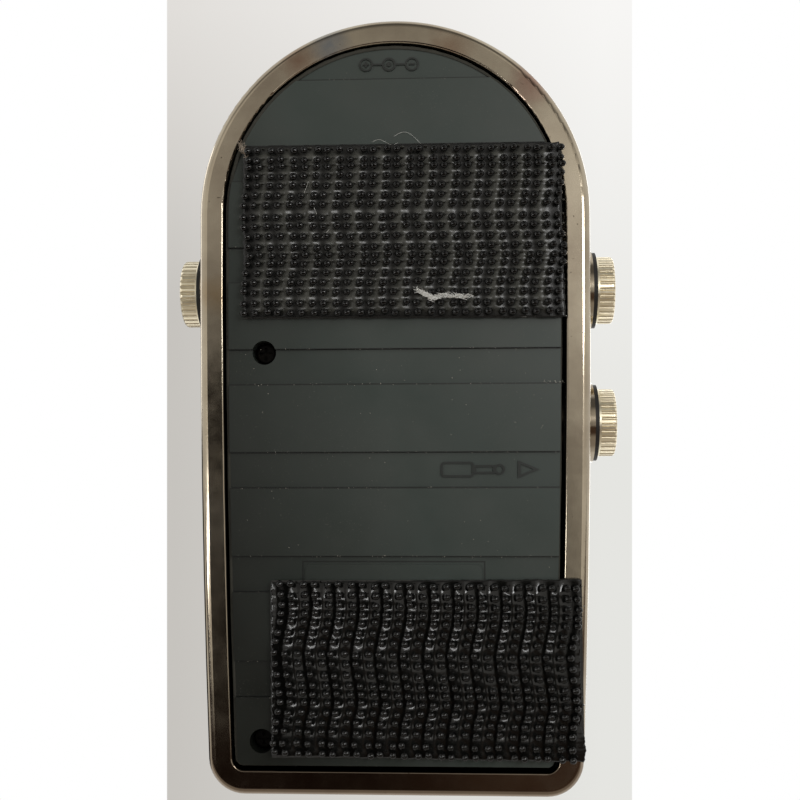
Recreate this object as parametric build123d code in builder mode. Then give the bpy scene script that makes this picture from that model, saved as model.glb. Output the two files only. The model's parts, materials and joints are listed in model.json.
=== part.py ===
"""A compact treadle volume pedal, in millimetres.

It stands upright: +Z is up and the round toe end points along +Y. The origin lies under the middle of the
casing, on the floor that the two hook strips rest on. The treadle is modelled heel down, against its stop.
"""

import os
from math import acos, asin, atan, ceil, cos, degrees, pi, radians, sin, sqrt, tan

from build123d import *

os.makedirs("parts", exist_ok=True)

# ---- driving dimensions --------------------------------------------------------------------------

# Casing outline: a half-round toe end, slightly bowed sides that draw in to the heel, and a square heel end
CASE_LENGTH = 150.0
CASE_WIDTH = 76.1
HEEL_WIDTH = 71.6
HEEL_CORNER = 7.0
FRAME_WALL = 4.8
FRAME_HEIGHT = 27.8
RIM_ROUND = 1.6
RIM_INNER_ROUND = 0.4

# Hook strips stuck under the casing: width, length, place and turn seen from above
ADHESIVE = 0.6
STRIP_BACKING = 0.7
HOOK_HEIGHT = 1.7
HOOK_MARGIN = 0.5
STRIPS = {
    "toe": {"size": (61.6, 33.7), "place": (-1.7, 32.9), "turn": 0.2},
    "heel": {"size": (59.0, 33.4), "place": (-6.1, -50.8), "turn": -0.3},
}

# Bottom plate, with shallow channels across it and a well for each screw head
PLATE_THICK = 2.4
PLATE_GAP = 1.0
PLATE_RIB = 1.6
PLATE_RIB_HEIGHT = 2.2
CHANNEL_PITCH = 19.95
CHANNEL_WIDTH = 6.8
CHANNEL_DEPTH = 0.7
CHANNEL_END_MARGIN = 3.0
TOE_BAND = 12.0
FIRST_CHANNEL = 16.25
LABEL_SIZE = (34.9, 16.6)
LABEL_PLACE = (0.2, -39.0)
LABEL_ROUND = 1.6
LABEL_GROOVE = 0.5
RELIEF = 0.3
RELIEF_LINE = 0.42
TRIANGLE = (4.1, 3.4)
TRIANGLE_EDGE = 14.35
PLUG_EDGE = 29.1
PLUG_HANDLE = (6.4, 3.0)
PLUG_SLEEVE = (4.0, 1.7)
PLUG_TIP = 1.05
POLARITY_X = 0.8
POLARITY_RING = 1.35
POLARITY_SPACING = 4.5
POLARITY_BAR = 1.1
POLARITY_DOT = 0.45
WELL_OUTER = 8.0
WELL_BORE = 4.6
WELL_HEIGHT = 6.0
WELL_FLOOR = 1.6
MIDDLE_SCREW_TO_SEAT = 7.4
MIDDLE_SCREW_TO_JACK = 13.6
TOE_SCREW_EDGE = 15.6
TOE_SCREW_TO_JACK = 18.1
HEEL_SCREW_EDGE = 10.4
HEEL_SCREW_END = 10.3

# Screws that cut their own thread in the castings
SCREW_SHANK = 2.6
SCREW_PILOT_GAP = 0.05
SCREW_HEAD = 4.2
SCREW_HEAD_HEIGHT = 1.6
SCREW_LENGTH = 9.0
SCREW_CLEARANCE = 0.2
CROSS_WIDTH = 0.6
CROSS_DEPTH = 0.8

# Deck that closes the top of the frame and carries the treadle
DECK_THICK = 3.0
DECK_GAP = 0.15
POST_DIAMETER = 7.0
LUG_DIAMETER = 8.0
LUG_LENGTH = 10.0
LUG_INSET = 4.4
LUG_TO_JACK = 12.1
LUG_TO_HEEL = 44.0
EAR_INSET = 9.3
SLOT_SIDE_GAP = 1.5
SLOT_END_GAP = 1.0
EAR_WIDTH = 5.0
EAR_RADIUS = 7.0
EAR_FOOT = 22.0

# Treadle and its pivot
PIVOT_Y = -5.0
PIVOT_Z = 41.5
TRAVEL = 18.0
TREADLE_INSET = 1.4
TREADLE_END_INSET = 2.5
TREADLE_CORNER = 6.0
TREADLE_TOP = 12.0
TREADLE_PLATE = 3.0
TREADLE_EDGE_ROUND = 1.2
SKIRT_WALL = 2.6
SKIRT_DEPTH = 6.0
PAD_MARGIN = 4.2
PAD_RECESS = 0.8
PAD_THICK = 1.8
PAD_GAP = 0.1
HUB_RADIUS = 6.5
HUB_WIDTH = 6.0
HUB_GAP = 0.3
SHAFT_DIAMETER = 6.0
RUNNING_GAP = 0.05
SHAFT_OVERHANG = 1.9
BUSH_WALL = 1.5
BUSH_FLANGE = 1.0
BUSH_FLANGE_STEP = 1.6
CLIP_THICK = 0.8
CLIP_OFFSET = 0.3
CLIP_GROOVE = 0.6
CLIP_DIAMETER = 9.5
CLIP_MOUTH = 3.0
GRUB_DIAMETER = 3.0
GRUB_LENGTH = 3.2
HEX_KEY = 1.5

# Rubber stops between the deck and the treadle
BUMPER_DIAMETER = 9.0
BUMPER_STEM = 4.0
BUMPER_ROUND = 1.0
TOE_BUMPER_X = 14.0
TOE_BUMPER_END = 23.0
HEEL_BUMPER_X = 22.0
HEEL_BUMPER_END = 17.0
BUMPER_GAP = 0.3

# Toothed quadrant on the treadle, in mesh with the pinion on the potentiometer
MODULE = 0.7
PINION_TEETH = 12
QUADRANT_TEETH_PER_TURN = 120
PRESSURE_ANGLE = 20.0
BACKLASH = 0.12
QUADRANT_ADDENDUM = 0.45
PINION_ADDENDUM = 0.8
ROOT_CLEARANCE = 0.25
QUADRANT_THICK = 4.0
QUADRANT_END_TEETH = 1
QUADRANT_HUB_RADIUS = 6.8
QUADRANT_WINDOW = (12.5, 32.5)
QUADRANT_TAB = (-34.0, 0.0)
QUADRANT_TAB_TOP_GAP = 1.0
RIB_WIDTH = 4.0
QUADRANT_SCREW_PLACES = [(-14.0, 4.6), (-29.0, 4.6)]
QUADRANT_SCREW = 3.0
QUADRANT_SCREW_HEAD = 5.6
QUADRANT_SCREW_HEAD_HEIGHT = 2.0

# Potentiometer and its bracket
POT_Z = 18.2
POT_DIAMETER = 16.5
BRACKET_X = 7.0
BRACKET_THICK = 1.2
BRACKET_WIDTH = 22.0
BRACKET_FLANGE = 13.0
BRACKET_SCREW_X = 12.6
BRACKET_SCREW_SPACING = 16.0
BRACKET_SCREW_BITE = 2.2
POT_FLANGE_THICK = 2.0
POT_WAFER_THICK = 1.4
POT_CAN_DEPTH = 5.6
POT_CAN_WALL = 0.5
POT_THREAD = 7.0
POT_THREAD_PLAY = 0.1
POT_WASHER = 0.5
POT_WASHER_DIAMETER = 11.0
POT_NUT = 1.9
POT_NUT_FLATS = 10.0
POT_THREAD_OVERHANG = 0.3
POT_SHAFT = 6.0
PINION_SEAT = 4.0
PINION_WIDTH = 6.4
PINION_CLIP_THICK = 0.6
PINION_CLIP_MOUTH = 1.4
ROTOR_DIAMETER = 12.0
ROTOR_THICK = 1.6
WAFER_TAB = (12.0, 11.6)
SOLDER_LUG = (5.0, 1.6, 0.5)
SOLDER_LUG_PITCH = 3.6

# Jacks: side (+1 is the player's right), place along the casing
TOE_JACK_Y = 23.2
BYPASS_JACK_Y = -3.8
JACKS = {"input": (1, TOE_JACK_Y), "output": (-1, TOE_JACK_Y), "bypass": (-1, BYPASS_JACK_Y)}
JACK_Z = 18.0
JACK_SEAT_INSET = 0.15
JACK_BOSS = 16.0
JACK_BOSS_HEIGHT = 1.35
JACK_BODY = (25.0, 15.0, 16.8)
JACK_THREAD = 9.0
JACK_THREAD_PLAY = 0.1
JACK_BORE = 6.5
JACK_BORE_END_WALL = 1.4
JACK_WASHER = 15.4
JACK_WASHER_THICK = 0.8
NUT_DIAMETER = 13.6
NUT_FLANGE_THICK = 0.5
NUT_THICK = 3.6
NUT_GROOVES = 34
NUT_GROOVE = 0.42
NUT_NOSE_RECESS = 0.3
CONTACT_STRIP = (13.0, 1.8, 0.4)
CONTACT_PINS = (3.5, 11.5, 19.5)
PIN_SECTION = (1.2, 0.6)
PIN_HOLE = 1.7

# Power inlet in the round toe end
INLET_Z = 15.4
INLET_BODY = (9.0, 13.6, 11.6)
INLET_BARREL = 8.6
INLET_HOLE_PLAY = 0.1
INLET_BORE = 6.2
INLET_BORE_DEPTH = 10.5
INLET_PIN = 2.0
INLET_PIN_RECESS = 0.9
INLET_FACE_INSET = 0.7
INLET_BACK_GAP = 1.2

# Circuit board
BOARD_THICK = 1.6
BOARD_EDGE_GAP = 1.5
BOARD_END = 3.6
BOARD_HOLE_GAP = 0.5
CONNECTOR = (9.0, 6.0, 5.0)
CONNECTOR_X = 11.0
CONNECTOR_END_GAP = 0.6
CONNECTOR_PITCH = 2.5
CHIPS = [(0.0, 8.0), (0.0, -4.0)]
CHIP_SIZE = (5.0, 6.2, 1.6)
CAPACITORS = [(13.0, 3.0, 3.2, 8.0), (-14.0, 37.0, 3.2, 8.0), (13.0, 37.0, 4.0, 10.5)]
INLET_CAPACITOR = (8.0, 5.4, 2.5, 7.0)
RESISTORS = [(-3.0 + 1.6 * (i % 5), 44.0 - 9.0 * (i // 5)) for i in range(10)]
RESISTOR_SIZE = (0.9, 1.9, 0.6)
WIRE_DIAMETER = 1.2

# ---- sizes worked out from them ------------------------------------------------------------------

RIM_Z = ADHESIVE + STRIP_BACKING + HOOK_HEIGHT
FRAME_TOP = RIM_Z + FRAME_HEIGHT
DECK_Z = FRAME_TOP - DECK_THICK
PLATE_TOP = RIM_Z + PLATE_THICK
WELL_TOP = RIM_Z + WELL_HEIGHT
PILOT = SCREW_SHANK / 2 + SCREW_PILOT_GAP
TOE_Y = CASE_LENGTH / 2
HEEL_Y = -CASE_LENGTH / 2


def side_turn(length, width, heel_width, corner):
    """The angle that the outline's bowed side turns through between the toe's arc and the heel corner's."""
    return 2 * atan((width - heel_width) / (length - width + 2 * (length / 2 - corner)))


def half_width(y):
    """The casing's half width at a place y along its bowed sides, which run straight back from the toe's arc."""
    taper = (CASE_WIDTH - HEEL_WIDTH) / 2
    toe_side_y = (CASE_LENGTH - CASE_WIDTH) / 2
    run = toe_side_y + CASE_LENGTH / 2 - HEEL_CORNER
    bow = 2 * taper / (taper**2 + run**2 + 2 * taper * HEEL_CORNER)
    away = toe_side_y - y
    return CASE_WIDTH / 2 - bow * away**2 / (1 + sqrt(1 - (bow * away) ** 2))


TOE_BAND_Y = TOE_Y - TOE_BAND
FIRST_CHANNEL_Y = TOE_BAND_Y - FIRST_CHANNEL
CHANNELS_END_Y = HEEL_Y + FRAME_WALL + PLATE_GAP + CHANNEL_END_MARGIN + CHANNEL_WIDTH / 2
CHANNEL_STEPS = range(int((FIRST_CHANNEL_Y - CHANNELS_END_Y) / CHANNEL_PITCH) + 1)
CHANNEL_PLACES = [FIRST_CHANNEL_Y - CHANNEL_PITCH * step for step in CHANNEL_STEPS]
BYPASS_CHANNEL_Y = min(CHANNEL_PLACES, key=lambda place: abs(place - BYPASS_JACK_Y))
JACK_ENDS_Y = (BYPASS_JACK_Y - JACK_BODY[1] / 2, TOE_JACK_Y + JACK_BODY[1] / 2)
JACK_SEAT_X = min(half_width(y) for y in JACK_ENDS_Y) - FRAME_WALL - JACK_SEAT_INSET
PLATE_SCREW_PLACES = [
    (JACK_SEAT_X - MIDDLE_SCREW_TO_SEAT, TOE_JACK_Y - MIDDLE_SCREW_TO_JACK),
    (HEEL_WIDTH / 2 - HEEL_SCREW_EDGE, HEEL_Y + HEEL_SCREW_END),
    (HEEL_SCREW_EDGE - HEEL_WIDTH / 2, HEEL_Y + HEEL_SCREW_END),
    (CASE_WIDTH / 2 - TOE_SCREW_EDGE, TOE_JACK_Y + TOE_SCREW_TO_JACK),
    (TOE_SCREW_EDGE - CASE_WIDTH / 2, TOE_JACK_Y + TOE_SCREW_TO_JACK),
]
LUG_YS = (TOE_JACK_Y + LUG_TO_JACK, HEEL_Y + LUG_TO_HEEL)
DECK_SCREW_PLACES = [(side * (half_width(y) - FRAME_WALL - LUG_INSET), y) for side in (-1, 1) for y in LUG_YS]
BUMPERS = {
    "toe": (TOE_BUMPER_X, TOE_Y - TOE_BUMPER_END),
    "heel": (HEEL_BUMPER_X, HEEL_Y + HEEL_BUMPER_END),
}

EAR_INNER_X = CASE_WIDTH / 2 - FRAME_WALL - EAR_INSET
REST_TILT = TRAVEL / 2
TREADLE_LENGTH = CASE_LENGTH - 2 * TREADLE_END_INSET
TREADLE_WIDTHS = (CASE_WIDTH - 2 * TREADLE_INSET, HEEL_WIDTH - 2 * TREADLE_INSET)
UNDERSIDE = TREADLE_TOP - TREADLE_PLATE
HUB_OUTER_X = EAR_INNER_X - BUSH_FLANGE - HUB_GAP
EAR_OUTER_X = EAR_INNER_X + EAR_WIDTH
SHAFT_HALF = EAR_OUTER_X + SHAFT_OVERHANG
SHAFT_HOLE = SHAFT_DIAMETER / 2 + RUNNING_GAP
BUSH_OUTER = SHAFT_HOLE + BUSH_WALL

GEAR_DISTANCE = MODULE * (PINION_TEETH + QUADRANT_TEETH_PER_TURN) / 2
MESH_ANGLE = degrees(asin((PIVOT_Z - POT_Z) / GEAR_DISTANCE))
POT_Y = PIVOT_Y - GEAR_DISTANCE * cos(radians(MESH_ANGLE))
QUADRANT_RADIUS = MODULE * QUADRANT_TEETH_PER_TURN / 2
PINION_RADIUS = MODULE * PINION_TEETH / 2
QUADRANT_ROOT = QUADRANT_RADIUS - PINION_ADDENDUM - ROOT_CLEARANCE
PINION_ROOT = PINION_RADIUS - QUADRANT_ADDENDUM - ROOT_CLEARANCE
QUADRANT_TIP = QUADRANT_RADIUS + QUADRANT_ADDENDUM
TOOTH_ANGLE = 360 / QUADRANT_TEETH_PER_TURN
TEETH_CUT = ceil(TRAVEL / TOOTH_ANGLE) + 1 + 2 * QUADRANT_END_TEETH

POT_FACE_X = BRACKET_X + BRACKET_THICK
POT_WAFER_X = POT_FACE_X + POT_FLANGE_THICK
POT_CAN_X = POT_WAFER_X + POT_WAFER_THICK
POT_NUT_X = BRACKET_X - POT_WASHER - POT_NUT
POT_THREAD_END_X = POT_NUT_X - POT_THREAD_OVERHANG
PINION_X = -PINION_WIDTH / 2
BRACKET_SCREW_PLACES = [(BRACKET_SCREW_X, POT_Y + side * BRACKET_SCREW_SPACING / 2) for side in (-1, 1)]

BOARD_TOP = JACK_Z - JACK_BODY[2] / 2
BOARD_Z = BOARD_TOP - BOARD_THICK
BOARD_HEEL_Y = BYPASS_JACK_Y - JACK_BODY[1] / 2 - BOARD_END
CONNECTOR_Y = BOARD_HEEL_Y + CONNECTOR_END_GAP + CONNECTOR[1] / 2
JACK_FACE_X = CASE_WIDTH / 2 + JACK_BOSS_HEIGHT
NUT_X = JACK_FACE_X + JACK_WASHER_THICK
NUT_FACE_X = NUT_X + NUT_THICK
INLET_FACE_Y = CASE_LENGTH / 2 - INLET_FACE_INSET
INLET_BACK_Y = CASE_LENGTH / 2 - FRAME_WALL - INLET_BACK_GAP


# ---- helpers -------------------------------------------------------------------------------------


def write(builder, name):
    """Labels a finished piece and writes it as one STEP file."""
    builder.part.label = name
    export_step(builder.part, f"parts/{name}.step")


def arch_face(length, width, heel_width, corner, mode=Mode.ADD):
    """Adds the arch outline to the open sketch: a half-round toe, bowed sides and rounded heel corners."""
    turn = side_turn(length, width, heel_width, corner)
    toe_side = Vector(width / 2, (length - width) / 2)
    heel_centre = Vector(heel_width / 2 - corner, corner - length / 2)
    heel_side = heel_centre + Vector(cos(turn), -sin(turn)) * corner
    side_bulge = Vector(cos(turn / 2), -sin(turn / 2)) * ((toe_side - heel_side).length / 2 * tan(turn / 4))
    side_middle = (toe_side + heel_side) / 2 + side_bulge
    corner_angle = (turn + pi / 2) / 2
    corner_middle = heel_centre + Vector(cos(corner_angle), -sin(corner_angle)) * corner
    heel_end = heel_centre + Vector(0, -corner)

    def left(point):
        return (-point.X, point.Y)

    def side(start, middle, end):
        if abs(turn) < 1e-6:
            Line(start, end)
        else:
            ThreePointArc(start, middle, end)

    with BuildLine() as outline:
        ThreePointArc(left(toe_side), (0, length / 2), toe_side)
        side(toe_side, side_middle, heel_side)
        ThreePointArc(heel_side, corner_middle, heel_end)
        Line(heel_end, left(heel_end))
        ThreePointArc(left(heel_end), left(corner_middle), left(heel_side))
        side(left(heel_side), left(side_middle), left(toe_side))
    make_face(outline.edges(), mode=mode)


def case_face(inset, mode=Mode.ADD):
    """Adds the casing's outline, drawn in by inset on every side."""
    corner = max(HEEL_CORNER - inset, 1.0)
    arch_face(CASE_LENGTH - 2 * inset, CASE_WIDTH - 2 * inset, HEEL_WIDTH - 2 * inset, corner, mode)


def inner_face(gap, mode=Mode.ADD):
    """Adds the outline of a piece that sits inside the frame with a gap all round."""
    case_face(FRAME_WALL + gap, mode)


def tread_face(inset, mode=Mode.ADD):
    """Adds the treadle's outline, drawn in by inset."""
    toe_width, heel_width = TREADLE_WIDTHS
    sizes = [size - 2 * inset for size in (TREADLE_LENGTH, toe_width, heel_width)]
    arch_face(*sizes, max(TREADLE_CORNER - inset, 1.0), mode)


def treadle_plane(along=0.0, up=0.0):
    """A plane parallel to the treadle's top at rest, at a distance along and up from the pivot."""
    tilt = radians(REST_TILT)
    origin = (0, PIVOT_Y + along * cos(tilt) - up * sin(tilt), PIVOT_Z + along * sin(tilt) + up * cos(tilt))
    return Plane(origin=origin, x_dir=(1, 0, 0), z_dir=(0, -sin(tilt), cos(tilt)))


def treadle_side_plane(x):
    """A plane across the pivot axis at x, whose own x runs along the treadle to its toe."""
    tilt = radians(REST_TILT)
    return Plane(origin=(x, PIVOT_Y, PIVOT_Z), x_dir=(0, cos(tilt), sin(tilt)), z_dir=(1, 0, 0))


def axle_plane(x, y, z):
    """A level plane across an axis along X, whose own x runs to the toe and own y up."""
    return Plane(origin=(x, y, z), x_dir=(0, 1, 0), z_dir=(1, 0, 0))


def jack_plane(side, y, x):
    """A plane across a jack's axis at a distance x from the middle, facing out of the casing's side."""
    return Plane(origin=(side * x, y, JACK_Z), x_dir=(0, side, 0), z_dir=(side, 0, 0))


def treadle_stop_height(y, tilt_degrees):
    """The height of the treadle's underside above the floor at a place y, at a tilt with the toe up."""
    tilt = radians(tilt_degrees)
    along = (y - PIVOT_Y + UNDERSIDE * sin(tilt)) / cos(tilt)
    return PIVOT_Z + along * sin(tilt) + UNDERSIDE * cos(tilt)


def gear_tooth(pitch_radius, tip_radius, root_radius):
    """Draws one gear tooth along the x axis: involute flanks above the base circle, straight below it."""
    base_radius = pitch_radius * cos(radians(PRESSURE_ANGLE))
    start_radius = max(base_radius, root_radius)
    foot_radius = root_radius - 0.3

    def roll(radius):
        pressure = acos(min(base_radius / radius, 1.0))
        return tan(pressure) - pressure

    def half_angle(radius):
        at_pitch = (pi * MODULE / 2 - BACKLASH / 2) / (2 * pitch_radius)
        return at_pitch + roll(pitch_radius) - roll(radius)

    def flank_point(radius, sign):
        angle = sign * half_angle(max(radius, start_radius))
        return (radius * cos(angle), radius * sin(angle))

    radii = [start_radius + (tip_radius - start_radius) * step / 5 for step in range(6)]
    with BuildSketch() as tooth:
        with BuildLine():
            Spline(*[flank_point(radius, 1) for radius in radii])
            ThreePointArc(flank_point(tip_radius, 1), (tip_radius, 0), flank_point(tip_radius, -1))
            Spline(*[flank_point(radius, -1) for radius in reversed(radii)])
            Polyline(
                flank_point(start_radius, -1),
                flank_point(foot_radius, -1),
                flank_point(foot_radius, 1),
                flank_point(start_radius, 1),
            )
        make_face()
    return tooth.sketch


def cross_recess(plane):
    """Cuts a cross recess below a plane into the open part, for a screwdriver."""
    with BuildSketch(plane) as cross:
        Rectangle(SCREW_HEAD * 0.6, CROSS_WIDTH)
        Rectangle(CROSS_WIDTH, SCREW_HEAD * 0.6)
    extrude(cross.sketch, amount=-CROSS_DEPTH, mode=Mode.SUBTRACT)


# ---- frame, deck and bottom plate ----------------------------------------------------------------

# The frame is one casting: a wall round the outline, a boss round each jack hole, and four lugs for the deck.
with BuildPart() as frame:
    with BuildSketch(Plane.XY.offset(RIM_Z)):
        case_face(0)
    extrude(amount=FRAME_HEIGHT)
    fillet(frame.edges().group_by(Axis.Z)[0] + frame.edges().group_by(Axis.Z)[-1], RIM_ROUND)
    with BuildSketch(Plane.XY.offset(RIM_Z)):
        case_face(FRAME_WALL)
    extrude(amount=FRAME_HEIGHT, mode=Mode.SUBTRACT)
    fillet(frame.faces().sort_by(Axis.Z)[0].inner_wires()[0].edges(), RIM_INNER_ROUND)
    for jack_side, jack_y in JACKS.values():
        with BuildSketch(jack_plane(jack_side, jack_y, JACK_SEAT_X)):
            Circle(JACK_BOSS / 2)
        extrude(amount=JACK_FACE_X - JACK_SEAT_X)
    with BuildSketch(Plane.XY.offset(DECK_Z)):
        with Locations(*DECK_SCREW_PLACES):
            Circle(LUG_DIAMETER / 2)
        for lug_x, lug_y in DECK_SCREW_PLACES:
            lug_reach = LUG_INSET + FRAME_WALL / 2
            with Locations((lug_x + (lug_reach / 2 if lug_x > 0 else -lug_reach / 2), lug_y)):
                Rectangle(lug_reach, LUG_DIAMETER)
    extrude(amount=-LUG_LENGTH)
    with Locations(*[(x, y, DECK_Z) for x, y in DECK_SCREW_PLACES]):
        Hole(PILOT, SCREW_LENGTH)
    for jack_side, jack_y in JACKS.values():
        with BuildSketch(jack_plane(jack_side, jack_y, JACK_FACE_X)):
            Circle(JACK_THREAD / 2 + JACK_THREAD_PLAY)
        extrude(amount=-(JACK_FACE_X - JACK_SEAT_X), mode=Mode.SUBTRACT)
    with BuildSketch(Plane.XZ.offset(-CASE_LENGTH / 2)):
        with Locations((0, INLET_Z)):
            Circle(INLET_BARREL / 2 + INLET_HOLE_PLAY)
    extrude(amount=2 * FRAME_WALL, mode=Mode.SUBTRACT)
write(frame, "frame")

# The deck lies inside the frame's top edge. Its ears carry the pivot, its posts the bottom plate's screws.
with BuildPart() as deck:
    with BuildSketch(Plane.XY.offset(DECK_Z)):
        inner_face(DECK_GAP)
    extrude(amount=DECK_THICK)
    with BuildSketch(Plane.YZ.offset(EAR_INNER_X)):
        with Locations((PIVOT_Y, PIVOT_Z)):
            Circle(EAR_RADIUS)
        with BuildLine():
            Polyline(
                (PIVOT_Y - EAR_FOOT / 2, DECK_Z + DECK_THICK / 2),
                (PIVOT_Y + EAR_FOOT / 2, DECK_Z + DECK_THICK / 2),
                (PIVOT_Y + EAR_RADIUS, PIVOT_Z),
                (PIVOT_Y - EAR_RADIUS, PIVOT_Z),
                close=True,
            )
        make_face()
    extrude(amount=EAR_WIDTH)
    mirror(about=Plane.YZ)
    with BuildSketch(Plane.XY.offset(WELL_TOP)):
        with Locations(*PLATE_SCREW_PLACES):
            Circle(POST_DIAMETER / 2)
    extrude(amount=DECK_Z + DECK_THICK / 2 - WELL_TOP)
    with BuildSketch(Plane.XY.offset(WELL_TOP)):
        with Locations(*PLATE_SCREW_PLACES):
            Circle(PILOT)
    extrude(amount=SCREW_LENGTH - WELL_FLOOR + 1.0, mode=Mode.SUBTRACT)
    with BuildSketch(Plane.YZ.offset(-CASE_WIDTH / 2)):
        with Locations((PIVOT_Y, PIVOT_Z)):
            Circle(BUSH_OUTER)
    extrude(amount=CASE_WIDTH, mode=Mode.SUBTRACT)
    with Locations(*[(x, y, FRAME_TOP) for x, y in DECK_SCREW_PLACES]):
        CounterSinkHole(SCREW_SHANK / 2 + SCREW_CLEARANCE, SCREW_HEAD / 2 + SCREW_CLEARANCE)
    slot_toe_y = PIVOT_Y - QUADRANT_HUB_RADIUS
    slot_heel_y = PIVOT_Y - QUADRANT_TIP - SLOT_END_GAP
    with BuildSketch(Plane.XY.offset(FRAME_TOP)):
        with Locations((0, (slot_toe_y + slot_heel_y) / 2)):
            RectangleRounded(QUADRANT_THICK + 2 * SLOT_SIDE_GAP, slot_toe_y - slot_heel_y, SLOT_SIDE_GAP)
    extrude(amount=-DECK_THICK, mode=Mode.SUBTRACT)
    with BuildSketch(Plane.XY.offset(FRAME_TOP)):
        with Locations(*[(side * x, y) for side in (-1, 1) for x, y in BUMPERS.values()]):
            Circle(BUMPER_STEM / 2)
    extrude(amount=-DECK_THICK, mode=Mode.SUBTRACT)
    with BuildSketch(Plane.XY.offset(DECK_Z)):
        with Locations(*BRACKET_SCREW_PLACES):
            Circle(PILOT)
    extrude(amount=BRACKET_SCREW_BITE + 0.3, mode=Mode.SUBTRACT)
write(deck, "deck")


def triangle_outline(x, y, line):
    """Adds the outline of a triangle that points along -X, starting at x."""
    length, height = TRIANGLE
    middle = x - length / 3
    with Locations((middle, y)):
        Polygon((length / 3, height / 2), (-length * 2 / 3, 0), (length / 3, -height / 2), align=None)
        inner = 1 - 2.6 * line / height * 1.3
        Polygon(
            (length / 3 * inner, height / 2 * inner),
            (-length * 2 / 3 * inner, 0),
            (length / 3 * inner, -height / 2 * inner),
            align=None,
            mode=Mode.SUBTRACT,
        )


def plug_outline(x, y, line):
    """Adds the outline of a plug that points along -X, starting at x: a handle, a sleeve and a tip."""
    handle, sleeve = PLUG_HANDLE, PLUG_SLEEVE
    with Locations((x - handle[0] / 2, y)):
        RectangleRounded(*handle, 1.7 * line)
        RectangleRounded(handle[0] - 2 * line, handle[1] - 2 * line, 0.7 * line, mode=Mode.SUBTRACT)
    with Locations((x - handle[0] - sleeve[0] / 2, y)):
        Rectangle(*sleeve)
        Rectangle(sleeve[0] - 2 * line, sleeve[1] - 2 * line, mode=Mode.SUBTRACT)
    with Locations((x - handle[0] - sleeve[0] - PLUG_TIP + line / 2, y)):
        Circle(PLUG_TIP)
        Circle(PLUG_TIP - line, mode=Mode.SUBTRACT)


def polarity_sign(x, y, line):
    """Adds the usual sign for the power plug's polarity: minus, centre contact and plus, in three rings."""
    ring, spacing = POLARITY_RING, POLARITY_SPACING
    for place in (-spacing, spacing):
        with Locations((x + place, y)):
            Circle(ring)
            Circle(ring - line * 0.8, mode=Mode.SUBTRACT)
            Rectangle(POLARITY_BAR, line * 0.8)
    with Locations((x + spacing, y)):
        Rectangle(line * 0.8, POLARITY_BAR)
    with Locations((x, y)):
        Circle(ring)
        Circle(ring - line, mode=Mode.SUBTRACT)
        Circle(POLARITY_DOT)
    for place in (-1, 1):
        with Locations((x + place * spacing / 2, y)):
            Rectangle(spacing - 2 * ring + line, line * 0.8)


# The bottom plate is moulded: flats and shallow channels outside, a stiffening rib and screw wells inside.
with BuildPart() as bottom_plate:
    with BuildSketch(Plane.XY.offset(RIM_Z)):
        inner_face(PLATE_GAP)
    extrude(amount=PLATE_THICK)
    with BuildSketch(Plane.XY.offset(PLATE_TOP)):
        inner_face(PLATE_GAP)
        inner_face(PLATE_GAP + PLATE_RIB, mode=Mode.SUBTRACT)
    extrude(amount=PLATE_RIB_HEIGHT)
    with BuildSketch(Plane.XY.offset(PLATE_TOP)):
        with Locations(*PLATE_SCREW_PLACES):
            Circle(WELL_OUTER / 2)
    extrude(amount=WELL_TOP - PLATE_TOP)
    with BuildSketch(Plane.XY.offset(RIM_Z)):
        with Locations(*[(0, y) for y in CHANNEL_PLACES]):
            Rectangle(CASE_WIDTH, CHANNEL_WIDTH)
        with Locations((0, TOE_Y - TOE_BAND / 2)):
            Rectangle(CASE_WIDTH, TOE_BAND)
    extrude(amount=CHANNEL_DEPTH, mode=Mode.SUBTRACT)
    with BuildSketch(Plane.XY.offset(RIM_Z + CHANNEL_DEPTH)):
        triangle_outline(TRIANGLE_EDGE - CASE_WIDTH / 2, BYPASS_CHANNEL_Y, RELIEF_LINE)
        plug_outline(PLUG_EDGE - CASE_WIDTH / 2, BYPASS_CHANNEL_Y, RELIEF_LINE)
        polarity_sign(POLARITY_X, (TOE_BAND_Y + TOE_Y - FRAME_WALL - PLATE_GAP) / 2, RELIEF_LINE)
    extrude(amount=-RELIEF)
    with BuildSketch(Plane.XY.offset(RIM_Z + RELIEF)):
        with Locations(LABEL_PLACE):
            RectangleRounded(*LABEL_SIZE, LABEL_ROUND)
    extrude(amount=CHANNEL_DEPTH - RELIEF)
    with BuildSketch(Plane.XY.offset(RIM_Z)):
        with Locations(LABEL_PLACE):
            label_outline = RectangleRounded(*LABEL_SIZE, LABEL_ROUND)
            offset(label_outline, -LABEL_GROOVE, mode=Mode.SUBTRACT)
    extrude(amount=CHANNEL_DEPTH, mode=Mode.SUBTRACT)
    with BuildSketch(Plane.XY.offset(RIM_Z)):
        with Locations(*PLATE_SCREW_PLACES):
            Circle(WELL_BORE / 2)
    extrude(amount=WELL_HEIGHT - WELL_FLOOR, mode=Mode.SUBTRACT)
    with BuildSketch(Plane.XY.offset(WELL_TOP)):
        with Locations(*PLATE_SCREW_PLACES):
            Circle(SCREW_SHANK / 2 + SCREW_CLEARANCE)
    extrude(amount=-WELL_FLOOR, mode=Mode.SUBTRACT)
write(bottom_plate, "bottom_plate")

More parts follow.
